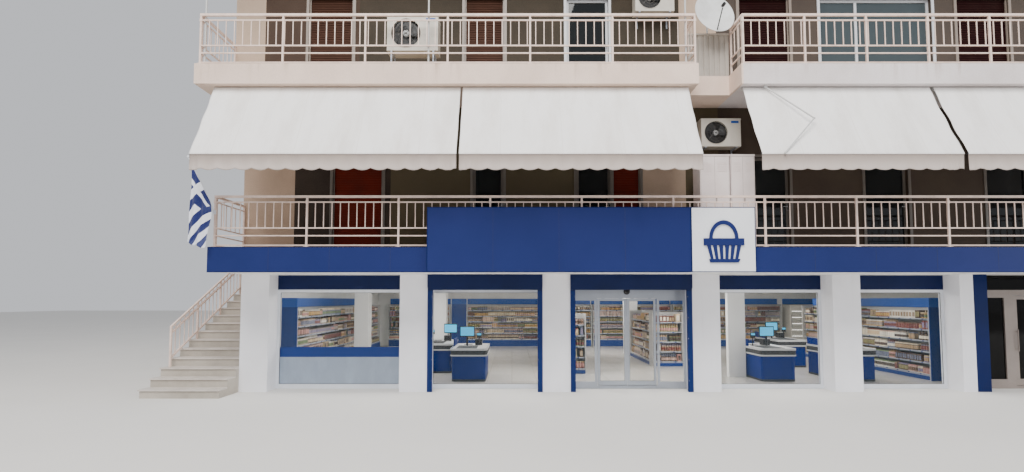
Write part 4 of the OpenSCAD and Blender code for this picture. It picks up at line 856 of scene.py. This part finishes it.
def shelf_goods(run, dice):
    """Facings of goods on every board of a run, in blocks of like packs: place = start + along x distance + out x
    depth, point = place + pack's point."""
    start, ways, length, (height, base, levels) = RUNS[run]
    along, out, up = *(np.array([*way, 0.0]) for way in ways), np.array([0.0, 0.0, 1.0])
    clear = (height - base) / levels
    templates = pack_templates()
    mirrored = np.cross(along, -out)[2] < 0
    shapes, tints = [], []
    for level in range(levels):
        depth = SHELF_D - (BOARD_IN if level else 0.0)
        edges = np.sort(np.r_[0.035, dice.uniform(0.1, length - 0.1, int(length / BLOCK)), length - 0.035])
        for left, right in zip(edges[:-1], edges[1:]):
            kind = int(dice.choice([0, 1, 1, 2]))
            wide = dice.uniform(0.07, 0.13) if kind == 0 else dice.uniform(0.06, 0.085)
            tall = (clear - BOARD) * dice.uniform(*((0.72, 0.95), (0.6, 0.82), (0.8, 0.95))[kind])
            count = int((right - left) / wide)
            if count < 1:
                continue
            colour = PACK_COLOURS[dice.integers(len(PACK_COLOURS), size=3)]
            rows, deep = (1, 0.26) if kind == 0 else (2, wide)
            s = np.tile(left + (np.arange(count) + 0.5) * (right - left) / count, rows)
            row = np.repeat(np.arange(rows), count)
            d = depth - 0.02 - deep * 0.5 - row * deep - dice.uniform(0, 0.015, rows * count)
            place = s[:, None] * along + d[:, None] * out + np.array([*start, SHOP_FLOOR + base + level * clear])
            points, faces, label = templates[kind]
            # the template faces -Y, so its width goes along the run and its front towards the shopper
            pack = points[:, :1] * wide * 0.95 * along - points[:, 1:2] * deep * 0.95 * out + points[:, 2:] * tall * up
            numbers = (faces[:, ::-1] if mirrored else faces) + len(pack) * np.arange(len(place))[:, None, None]
            shapes.append((place[:, None] + pack, numbers.reshape(-1, 4)))
            light = np.repeat(dice.uniform(0.72, 1.08, rows * count), len(points))
            tints.append(np.tile(colour[label], (rows * count, 1)) * light[:, None])
    return join(shapes), np.clip(np.concatenate(tints), 0, 1)


class SUPERMARKET_OT_goods(bpy.types.Operator):
    """Cartons, jars and bottles on the shelves, price rails with tags along the boards, and strips on the bases"""
    bl_idname = "supermarket.goods"
    bl_label = "Goods"

    def execute(self, context):
        dice = np.random.default_rng(settings().goods.seed)
        for run in RUNS:
            shape, tint = shelf_goods(run, dice)
            piece("goods_" + run, shape, "goods", tint=tint)
        rails, tags, kicks = [], [], []
        for start, ways, length, (height, base, levels) in RUNS.values():
            start, along, out = (np.array(one, float) for one in (start, *ways))

            def strip(d0, d1, s0, s1, low, high):
                """Corners of a strip from depth d0 to d1 and from s0 to s1 along the run."""
                ends = [start + out * d + along * s for d, s in ((d0, s0), (d1, s1))]
                return [*np.minimum(*ends), low], [*np.maximum(*ends), high]
            for level in range(levels):
                z = SHOP_FLOOR + base + level * (height - base) / levels
                depth = SHELF_D - (BOARD_IN if level else 0.0)
                rails.append(strip(depth, depth + 0.012, RAIL_END, length - RAIL_END, z - 0.029, z - 0.001))
                places = np.arange(0.2, length - 0.2, TAG_STEP) + dice.uniform(-0.05, 0.05)
                tags += [strip(depth + 0.012, depth + 0.014, s, s + TAG, z - 0.027, z - 0.003) for s in places]
            kicks.append(strip(SHELF_D, SHELF_D + 0.008, RAIL_END, length - RAIL_END, SHOP_FLOOR + 0.01,
                               SHOP_FLOOR + base - 0.045))
        plates("price_rails", rails, "silver_metal")
        plates("price_tags", tags, "header_plastic")
        plates("shelf_kicks", kicks, "header_plastic")
        return {"FINISHED"}


# left front corner of each checkout, and how far its screen stands from the left edge
TILLS = [(-5.66, FRONT + 1.15, 0.30), (-6.66, FRONT + 2.7, 0.70), (1.84, FRONT + 1.15, 0.56),
         (3.78, FRONT + 1.15, 0.25), (3.60, FRONT + 4.0, 0.25)]
# size of a checkout, overhang of its top and radius of its corners
TILL_W, TILL_D, TILL_H, TILL_OUT, TILL_R = 0.82, 1.6, 0.79, 0.03, 0.07
LAMP_STEPS, COOLERS, COOLER_W = (2.4, 1.9), 3, 0.624


class SUPERMARKET_OT_fittings(bpy.types.Operator):
    """Rails, bands, belts, devices and displays of the checkouts, ceiling lamps, and glass doors of the coolers"""
    bl_idname = "supermarket.fittings"
    bl_label = "Shop fittings"

    def execute(self, context):
        top = SHOP_FLOOR + TILL_H
        rails, bands, belts, screens, small, keys = [], [], [], [], [], []
        for x, y, screen_at in TILLS:
            body = (x, y, x + TILL_W, y + TILL_D, TILL_R)
            head = (x - TILL_OUT, y - TILL_OUT, body[2] + TILL_OUT, body[3] + TILL_OUT, TILL_R + TILL_OUT)
            plate = rounded(x, y - 0.02, body[2] + 0.02, body[3] + 0.02, TILL_R)
            rails += [band(*head, 0.009, top - 0.042, top + 0.006), band(*head, 0.009, top - 0.180, top - 0.146),
                      outline_plate(plate, top, top + 0.004, 2)]
            bands += [band(*head, 0.005, top - 0.144, top - 0.043),
                      band(*body, 0.004, SHOP_FLOOR + 0.002, SHOP_FLOOR + 0.055)]
            # belt and scanner window, screen, printer, and a keypad on a stalk at the side away from the screen
            belts += near((x, y, top), (0.10, 0.06, 0.004, 0.60, 0.86, 0.012), (0.2, 1.1, 0.004, 0.42, 1.3, 0.009))
            screens += near((x + screen_at, y + TILL_D * 0.6, top), (-0.172, -0.0225, 0.255, 0.172, -0.0205, 0.475))
            key = np.array([x + (0.61 if screen_at < 0.45 else 0.19), y, top])
            small += [boxes(near((x, y, top), (0.5, 1.02, 0.004, 0.68, 1.24, 0.16))),
                      boxes(near(key, (-0.06, 0.9, 0.2, 0.06, 0.93, 0.33))),
                      tube(key + [(0, 0.93, 0.004), (0, 0.93, 0.12), (0, 0.925, 0.26)], 0.014)]
            keys += near(key, (-0.05, 0.898, 0.27, 0.05, 0.9, 0.32))
        piece("checkout_rails", join(rails), "counter_top", mend=True)
        piece("checkout_bands", join(bands), "rubber", mend=True)
        plates("checkout_belts", belts, "rubber")
        piece("checkout_devices", join(small), "black_plastic")
        plates("checkout_displays", screens + keys, "display")
        spans = zip((-8.7, FRONT + 1.6), (9.5, -FRONT - 1.2), LAMP_STEPS)
        x, y = np.meshgrid(*(np.arange(*span) for span in spans), indexing="ij")
        places = np.stack([x, y, np.full(x.shape, GROUND_SOFFIT)], -1)
        plates("ceiling_lamps", near(places, (-0.6, -0.09, -0.045, 0.6, 0.09, -0.012)), "lamp")
        plates("lamp_trays", near(places, (-0.62, -0.11, -0.025, 0.62, 0.11, 0.0)), "white_paint")
        low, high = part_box("glass_coolers")
        tall = high.z - SHOP_FLOOR
        feet = [(low.x + i * COOLER_W, low.y, SHOP_FLOOR) for i in range(COOLERS)]
        levels = [(0.05, 0.014, z, 0.57, 0.024, z + 0.015) for z in np.linspace(0.19, tall - 0.27, 6)]
        plates("cooler_panes", near(feet, (0.05, 0.008, 0.18, 0.57, 0.013, tall - 0.25)), "clear_glass")
        plates("cooler_shelves", near(feet, *levels), "lamp")
        plates("cooler_handles", near(feet, (0.03, -0.03, 0.85, 0.045, 0.0, 1.35)), "bright_metal")
        return {"FINISHED"}


# shopfront bays: left edge, width
BAYS = {1: (-9.62, 2.92), 2: (-6.08, 2.56), 3: (-2.90, 2.71), 4: (0.43, 2.52), 5: (3.57, 2.22)}
GLAZING_Y, GLAZING_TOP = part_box("shop_frames")[0].y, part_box("shop_frames")[1].z
PANE_Y = GLAZING_Y + 0.034
# visible width of the frames' bars, and of the seals inside them
FRAME_W, SEAL_W = 0.06, 0.007


class SUPERMARKET_OT_shopfront(bpy.types.Operator):
    """Seals and strips of the windows, door sensor, grooves and screws of the roller boxes, joints and door seals"""
    bl_idname = "supermarket.shopfront"
    bl_label = "Shopfront"

    def execute(self, context):
        seals = [frame_strips(x + FRAME_W, x + w - FRAME_W, 0.10, GLAZING_TOP - FRAME_W, PANE_Y - 0.010, PANE_Y, SEAL_W)
                 for x, w in (BAYS[bay] for bay in (1, 2, 4, 5))]
        plates("window_seals", seals, "rubber")
        x, w = BAYS[1]
        pane, x0, x1 = (x, PANE_Y, 0.0), 0.068, w - 0.068
        plates("window_stripe", near(pane, (x0, -0.003, 0.717, x1, -0.0005, 0.946)), "header_plastic")
        plates("window_frosting", near(pane, (x0, -0.002, 0.108, x1, -0.0005, 0.716)), "frosted")
        dome = [(0.0, 0.0), (0.075, 0.0), (0.075, 0.012), (0.066, 0.035), (0.04, 0.052), (0.0, 0.058)]
        middle = (BAYS[3][0] + BAYS[3][1] / 2, GLAZING_Y, GLAZING_TOP - 0.035)
        piece("door_sensor", lathe(dome, middle, (0, -1, -0.25), 20), "black_plastic", smooth=True,
              mend=True)
        box_y, grooves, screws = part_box("roller_boxes")[0].y, [], []
        for x, w in (BAYS[2], BAYS[3]):
            grooves += near((x, box_y, GROUND_SOFFIT), (0.02, -0.0015, -0.20, w - 0.02, 0.0, -0.197))
            grooves += near([(x + 0.035, FRONT, 0), (x + w - 0.075, FRONT, 0)],
                            (0.0, -0.0215, 0.02, 0.04, -0.02, GROUND_SOFFIT - 0.36))
            screws += [lathe([(0, 0), (0.009, 0), (0.008, 0.003), (0, 0.004)], (at, FRONT - 0.02, z), (0, -1, 0), 8)
                       for at in (x + 0.10, x + w - 0.10) for z in np.linspace(0.25, 2.1, 5)]
        plates("roller_grooves", grooves, "navy_metal")
        piece("roller_screws", join(screws), "bright_metal", mend=True)
        joints = [near((x, GLAZING_Y, GLAZING_TOP), (0.0, -0.001, 0.002, w, 0.0, 0.012))
                  for x, w in (BAYS[bay] for bay in (1, 4, 5))]
        plates("header_joints", joints, "silver_metal")
        for side in ("left", "right"):
            low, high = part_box(side + "_door_leaf")
            pane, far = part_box(side + "_door_glass")
            strips = frame_strips(pane.x, far.x, pane.z, far.z, pane.y - 0.006, pane.y - 0.0005, 0.006)
            strips.append(([low.x + 0.004, low.y + 0.008, low.z - 0.005], [high.x - 0.004, high.y - 0.008, low.z]))
            plates(side + "_door_seals", strips, "rubber", side + "_door")
        return {"FINISHED"}


# how far the profiles stand out, their width on signs and on bands, and the length of a panel
PROFILE_OUT, SIGN_EDGE, BAND_EDGE, PANEL = 0.004, 0.014, 0.012, 1.22


class SUPERMARKET_OT_signs(bpy.types.Operator):
    """Panel joints, edge profiles and a plain basket symbol on the white square"""
    bl_idname = "supermarket.signs"
    bl_label = "Signs"

    def execute(self, context):
        main, square, bands = (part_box(name) for name in ("main_sign", "square_sign", "sign_bands"))
        profiles, joints = [], []

        def joint(x, low, high, edge):
            joints.append(([x - 0.0015, low.y - 0.0012, low.z + edge], [x + 0.0015, low.y, high.z - edge]))
        for low, high in (main, square):
            profiles += frame_strips(low.x, high.x, low.z, high.z, low.y - PROFILE_OUT, low.y, SIGN_EDGE)
        for x in np.linspace(main[0].x, main[1].x, 5)[1:-1]:
            joint(x, *main, SIGN_EDGE)
        low, high = bands
        for x0, x1 in ((low.x, main[0].x), (square[1].x, high.x)):
            profiles += [([x0, low.y - PROFILE_OUT, z0], [x1, low.y, z1])
                         for z0, z1 in ((low.z, low.z + BAND_EDGE), (high.z - BAND_EDGE, high.z))]
            for x in np.arange(x0 + PANEL, x1 - 0.3, PANEL):
                joint(x, *bands, BAND_EDGE)
        plates("sign_profiles", profiles, "blue_paint")
        plates("sign_joints", joints, "black_plastic")
        self.basket(*square)
        return {"FINISHED"}

    def basket(self, low, high):
        """A plain basket: a tapered tub with a rim and upright slots, and a bow handle, each a flat plate on the
        square. Bow = middle + (wide cos t, tall sin t), an outer and an inner one."""
        cx, cz, y, half = (low.x + high.x) / 2, (low.z + high.z) / 2, low.y, 0.40

        def part(out, *corners):
            return outline_plate(np.array(corners) * (half, 1.0) + (cx, cz), y - out, y)
        shapes = [part(0.03, (-1.0, 0.02), (-1.0, -0.12), (1.0, -0.12), (1.0, 0.02))]
        for x0 in -0.82 + np.arange(6) * 0.3:
            x1 = x0 * 0.8
            shapes.append(part(0.026, (x0 - 0.015, -0.12), (x1, -0.40), (x1 + 0.13, -0.40), (x0 + 0.165, -0.12)))
        shapes.append(part(0.028, (-0.74, -0.39), (-0.70, -0.46), (0.70, -0.46), (0.80, -0.39)))
        t = np.linspace(0.0, math.pi, 25)
        bows = [np.stack([cx + wide * half * np.cos(a), cz + 0.02 + tall * np.sin(a)], -1)
                for wide, tall, a in ((0.72, 0.36, t), (0.56, 0.28, t[::-1]))]
        n = 2 * len(t)
        points = np.zeros((2, n, 3))
        points[..., [0, 2]] = np.concatenate(bows)
        points[0, :, 1], points[1, :, 1] = y - 0.028, y
        i = np.arange(len(t) - 1)
        flat = np.stack([i, i + 1, n - 2 - i, n - 1 - i], -1)
        shapes.append((points, np.concatenate([flat, flat[:, ::-1] + n, grid_faces(2, n, True)])))
        piece("basket_symbol", join(shapes), "sign_panel", mend=True)


class SUPERMARKET_OT_railings(bpy.types.Operator):
    """Base plates, bolts and weld collars of the railing posts"""
    bl_idname = "supermarket.railings"
    bl_label = "Railings"

    def execute(self, context):
        posts = []
        for name, count, y, z, (from_left, from_right) in (
                ("first_railing", 12, FRONT - 1.23, FIRST_FLOOR, (0.018, 0.018)),
                ("second_railing_left", 7, FRONT - 1.41, SECOND_FLOOR, (0.023, 0.018)),
                ("second_railing_right", 9, FRONT - 1.41, SECOND_FLOOR, (0.018, 0.023))):
            low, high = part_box(name)
            posts += [(x, y, z) for x in np.linspace(low.x + from_left, high.x - from_right, count)]
        bolt = [(0, 0), (0.008, 0), (0.008, 0.007), (0, 0.008)]
        bolts = [lathe(bolt, (x + dx, y + 0.03, z + 0.008), sides=6) for x, y, z in posts for dx in (-0.032, 0.032)]
        plates("railing_plates", near(posts, (-0.045, -0.038, 0.0, 0.045, 0.045, 0.008)), "railing_paint")
        plates("railing_collars", near(posts, (-0.024, -0.024, 0.885, 0.024, 0.024, 0.94)), "railing_paint")
        piece("railing_bolts", join(bolts), "bright_metal", mend=True)
        return {"FINISHED"}


# doors of each floor that have a shutter, then those of glass: left edge and width
SHUTTERED = {
    FIRST_FLOOR: [(-8.24, 1.12), (-1.93, 0.62), (8.15, 1.1)],
    SECOND_FLOOR: [(-8.85, 1.01), (-5.28, 0.9), (1.0, 1.15), (6.0, 1.19), (8.3, 1.0)],
}
GLAZED = {
    FIRST_FLOOR: [(-5.08, 0.68), (-2.74, 0.77), (1.12, 0.94), (3.76, 0.97), (6.5, 1.0)],
    SECOND_FLOOR: [(-2.95, 0.96), (2.86, 2.56)],
}
# height of the doors, and depth of the building over which the side windows are placed
DOOR_H, DEPTH = 2.15, 12.0


class SUPERMARKET_OT_flats(bpy.types.Operator):
    """Shutter rails, door handles and window sills of the flats"""
    bl_idname = "supermarket.flats"
    bl_label = "Flats"

    def execute(self, context):
        rails, handles, sills = [], [], []
        for floor, half in ((FIRST_FLOOR, HALF_WIDTH), (SECOND_FLOOR, HALF_WIDTH_2)):
            for x, w in SHUTTERED[floor]:
                rails += near((x, FRONT, floor), (0.002, 0.03, 0.002, 0.03, 0.058, DOOR_H),
                              (w - 0.03, 0.03, 0.002, w - 0.002, 0.058, DOOR_H),
                              (0.03, 0.045, 0.003, w - 0.03, 0.059, 0.06))
            for x, w in GLAZED[floor]:
                at = np.array([x + w - 0.03, FRONT, floor])
                lever = at + [(0, 0.068, 1.03), (0, 0.035, 1.03), (-0.03, 0.03, 1.03), (-0.11, 0.03, 1.03)]
                handles += [boxes(near(at, (-0.012, 0.066, 0.95, 0.012, 0.08, 1.11))), tube(lever, 0.009)]
            sills += near([(s * HALF_WIDTH, -FRONT, floor) for s in (-0.75, -0.25, 0.25, 0.75)],
                          (-0.66, -0.02, 0.91, 0.66, 0.028, 0.95))
            sills += near([(-half, FRONT + s * DEPTH, floor) for s in (0.68, 0.88)],
                          (-0.028, -0.66, 0.91, 0.02, 0.66, 0.95))
        plates("shutter_rails", rails, "frame_paint")
        piece("door_handles", join(handles), "bright_metal", mend=True)
        plates("window_sills", sills, "marble")
        return {"FINISHED"}


# lower left front corner and size of each cooling unit
UNITS = [((-6.80, FRONT - 1.15, SECOND_FLOOR + 0.40), (1.06, 0.38, 0.75)),
         ((-1.44, FRONT - 0.33, SECOND_FLOOR + 1.68), (0.87, 0.32, 0.62)),
         ((-0.02, FRONT - 0.33, FIRST_FLOOR + 2.31), (0.87, 0.32, 0.62))]
# place of the fan across a unit, and its radius as a share of the height
FAN_SIDE, FAN_SHARE = 0.37, 0.41


class SUPERMARKET_OT_equipment(bpy.types.Operator):
    """Fans, lids and plates of the cooling units, the dish's feed, seams and louvres of the cabinets"""
    bl_idname = "supermarket.equipment"
    bl_label = "Equipment"

    def execute(self, context):
        blades, hubs, shade_backs, rims, lids, labels = [], [], [], [], [], []
        for corner, (w, d, h) in UNITS:
            fan, c = h * FAN_SHARE, np.array(corner) + (w * FAN_SIDE, 0.0, h / 2)
            hub = [(0, 0), (fan * 0.24, 0.0), (fan * 0.24, 0.03), (fan * 0.16, 0.04), (0, 0.044)]
            shade_back = [(0, 0), (fan * 0.995, 0.0), (fan * 0.995, 0.002), (0, 0.002)]
            blades += [self.blade(c + (0, 0.034, 0), fan * 0.93, k * 2 * math.pi / 3) for k in range(3)]
            hubs.append(lathe(hub, c + (0, 0.05, 0), (0, -1, 0), 20))
            # a black disc behind the blades, standing in as painted shade for the unit's dark inside
            shade_backs.append(lathe(shade_back, c + (0, 0.0595, 0), (0, -1, 0), 32))
            rims.append(self.ring(c, fan, 0.0072))
            lids += near(corner, (-0.006, -0.006, h - 0.03, w + 0.006, d + 0.004, h + 0.004),
                         (w * 0.735, -0.0025, 0.03, w * 0.74, 0.0, h - 0.03))
            labels += near(corner, (w * 0.76, -0.002, h * 0.84, w * 0.95, 0.0, h * 0.92))
        piece("fan_blades", join(blades), "fan_grey", smooth=True, mend=True)
        piece("fan_hubs", join(hubs), "dish_paint", smooth=True, mend=True)
        piece("fan_shade_backs", join(shade_backs), "black_plastic", mend=True)
        piece("fan_rims", join(rims), "unit_casing", smooth=True, mend=True)
        plates("unit_lids", lids, "unit_casing")
        plates("unit_plates", labels, "header_plastic")
        self.dish_feed()
        low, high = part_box("cabinets")
        tall, seams, slots = high.z - low.z, [], []
        for x, w in ((-0.262, 0.62), (0.384, 0.5)):
            foot, mid = (x, low.y, low.z), w / 2
            seams += near(foot, (mid - 0.002, 0.0065, 0.03, mid + 0.002, 0.008, tall - 0.05),
                          (mid + 0.02, -0.012, 0.95, mid + 0.035, 0.008, 1.08))
            seams += frame_strips(x + 0.012, x + w - 0.012, low.z + 0.02, high.z - 0.042, low.y + 0.0062,
                                  low.y + 0.008, 0.004)
            slots += near([(x + side, low.y, low.z + z) for z in np.linspace(1.62, 1.8, 6) for side in (0.0, mid)],
                          (0.06, 0.002, 0.0, mid - 0.06, 0.008, 0.012))
        plates("cabinet_seams", seams, "dark_metal")
        plates("cabinet_louvres", slots, "cabinet_paint")
        return {"FINISHED"}

    def dish_feed(self):
        """Dark sleeve on the dish's feed arm and cap on its receiver: point = place + Rz(turn) Rx(tilt) point in the
        dish's axes."""
        (ct, st), (cz, sz) = ((math.cos(a), math.sin(a)) for a in (math.radians(78), math.radians(12)))
        axes = np.array([[cz, -sz, 0], [sz, cz, 0], [0, 0, 1]]) @ np.array([[1, 0, 0], [0, ct, -st], [0, st, ct]])
        place = np.array([0.04, FRONT - 1.0, SECOND_FLOOR + 1.23])
        rim, feed = np.array([0, -0.44, 0.04]), np.array([0, -0.06, 0.38])
        path = place + (rim + np.linspace(0.06, 0.9, 5)[:, None] * (feed - rim)) @ axes.T
        cap = [(0, -0.004), (0.031, -0.004), (0.034, 0.03), (0.031, 0.084), (0, 0.084)]
        head = lathe(cap, place + axes @ (0, -0.06, 0.35), axes @ (0, 0, 1), 20)
        piece("dish_feed", join([tube(path, 0.012), head]), "black_plastic", mend=True)

    def blade(self, centre, reach, turn):
        """Fan blade: radius r and sweep angle q give centre + r (cos, sin), pitched out of the plane by the angle."""
        n = 8
        r, q = np.meshgrid(np.linspace(reach * 0.2, reach, n), np.linspace(-0.75, 0.55, n), indexing="ij")
        angle = turn + q + 0.5 * (r / reach)
        face = centre + np.stack([r * np.cos(angle), 0.028 * np.sin(q * 1.3), r * np.sin(angle)], -1)
        front = grid_faces(n, n)
        edge = np.concatenate([np.arange(n), np.arange(2 * n - 1, n * n, n), np.arange(n * n - 2, n * n - n - 1, -1),
                               np.arange(n * n - 2 * n, 0, -n)])
        after = np.roll(edge, -1)
        wall = np.stack([edge, after, after + n * n, edge + n * n], -1)
        return np.stack([face, face + (0, 0.003, 0)]), np.concatenate([front, front[:, ::-1] + n * n, wall])

    def ring(self, centre, radius, thick):
        """Ring: a small circle carried round a large one in the plane of the front."""
        (big_c, big_s), (c, s) = circle(40), circle(8)
        r = radius + thick * c
        y = np.broadcast_to(centre[1] - 0.002 + thick * s, (40, 8))
        points = np.stack([centre[0] + r * big_c[:, None], y, centre[2] + r * big_s[:, None]], -1)
        return points, grid_faces(40, 8, True, True)


PIECES = [SUPERMARKET_OT_stage, SUPERMARKET_OT_finishes, SUPERMARKET_OT_awnings, SUPERMARKET_OT_flag,
          SUPERMARKET_OT_goods, SUPERMARKET_OT_fittings, SUPERMARKET_OT_shopfront, SUPERMARKET_OT_signs,
          SUPERMARKET_OT_railings, SUPERMARKET_OT_flats, SUPERMARKET_OT_equipment]


class SupermarketSettings(bpy.types.PropertyGroup):
    paint: PointerProperty(type=PaintSettings, name="Paint", description="Colours")
    awnings: PointerProperty(type=AwningSettings, name="Awnings", description="Shape of the awning cloth")
    goods: PointerProperty(type=GoodsSettings, name="Goods", description="What stands on the shelves")
    stage: PointerProperty(type=StageSettings, name="Stage", description="Light and camera")


class SUPERMARKET_PT_pieces(bpy.types.Panel):
    """Settings and pieces of the supermarket building"""
    bl_idname = "SUPERMARKET_PT_pieces"
    bl_label = "Supermarket building"
    bl_space_type = "VIEW_3D"
    bl_region_type = "UI"
    bl_category = "Supermarket"

    def draw(self, context):
        for part in ("paint", "awnings", "goods", "stage"):
            box = self.layout.box()
            box.label(text=part.capitalize())
            values = getattr(context.scene.supermarket, part)
            for name in values.__annotations__:
                box.prop(values, name)
        for one in PIECES:
            self.layout.operator(one.bl_idname, text=one.bl_label)


CLASSES = [PaintSettings, AwningSettings, GoodsSettings, StageSettings, SupermarketSettings, *PIECES,
           SUPERMARKET_PT_pieces]


def register():
    for one in CLASSES:
        bpy.utils.register_class(one)
    bpy.types.Scene.supermarket = PointerProperty(type=SupermarketSettings)


def unregister():
    del bpy.types.Scene.supermarket
    for one in reversed(CLASSES):
        bpy.utils.unregister_class(one)


def main():
    register()
    for one in PIECES:
        family, name = one.bl_idname.split(".")
        getattr(getattr(bpy.ops, family), name)()
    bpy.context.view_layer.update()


if __name__ == "__main__":
    main()
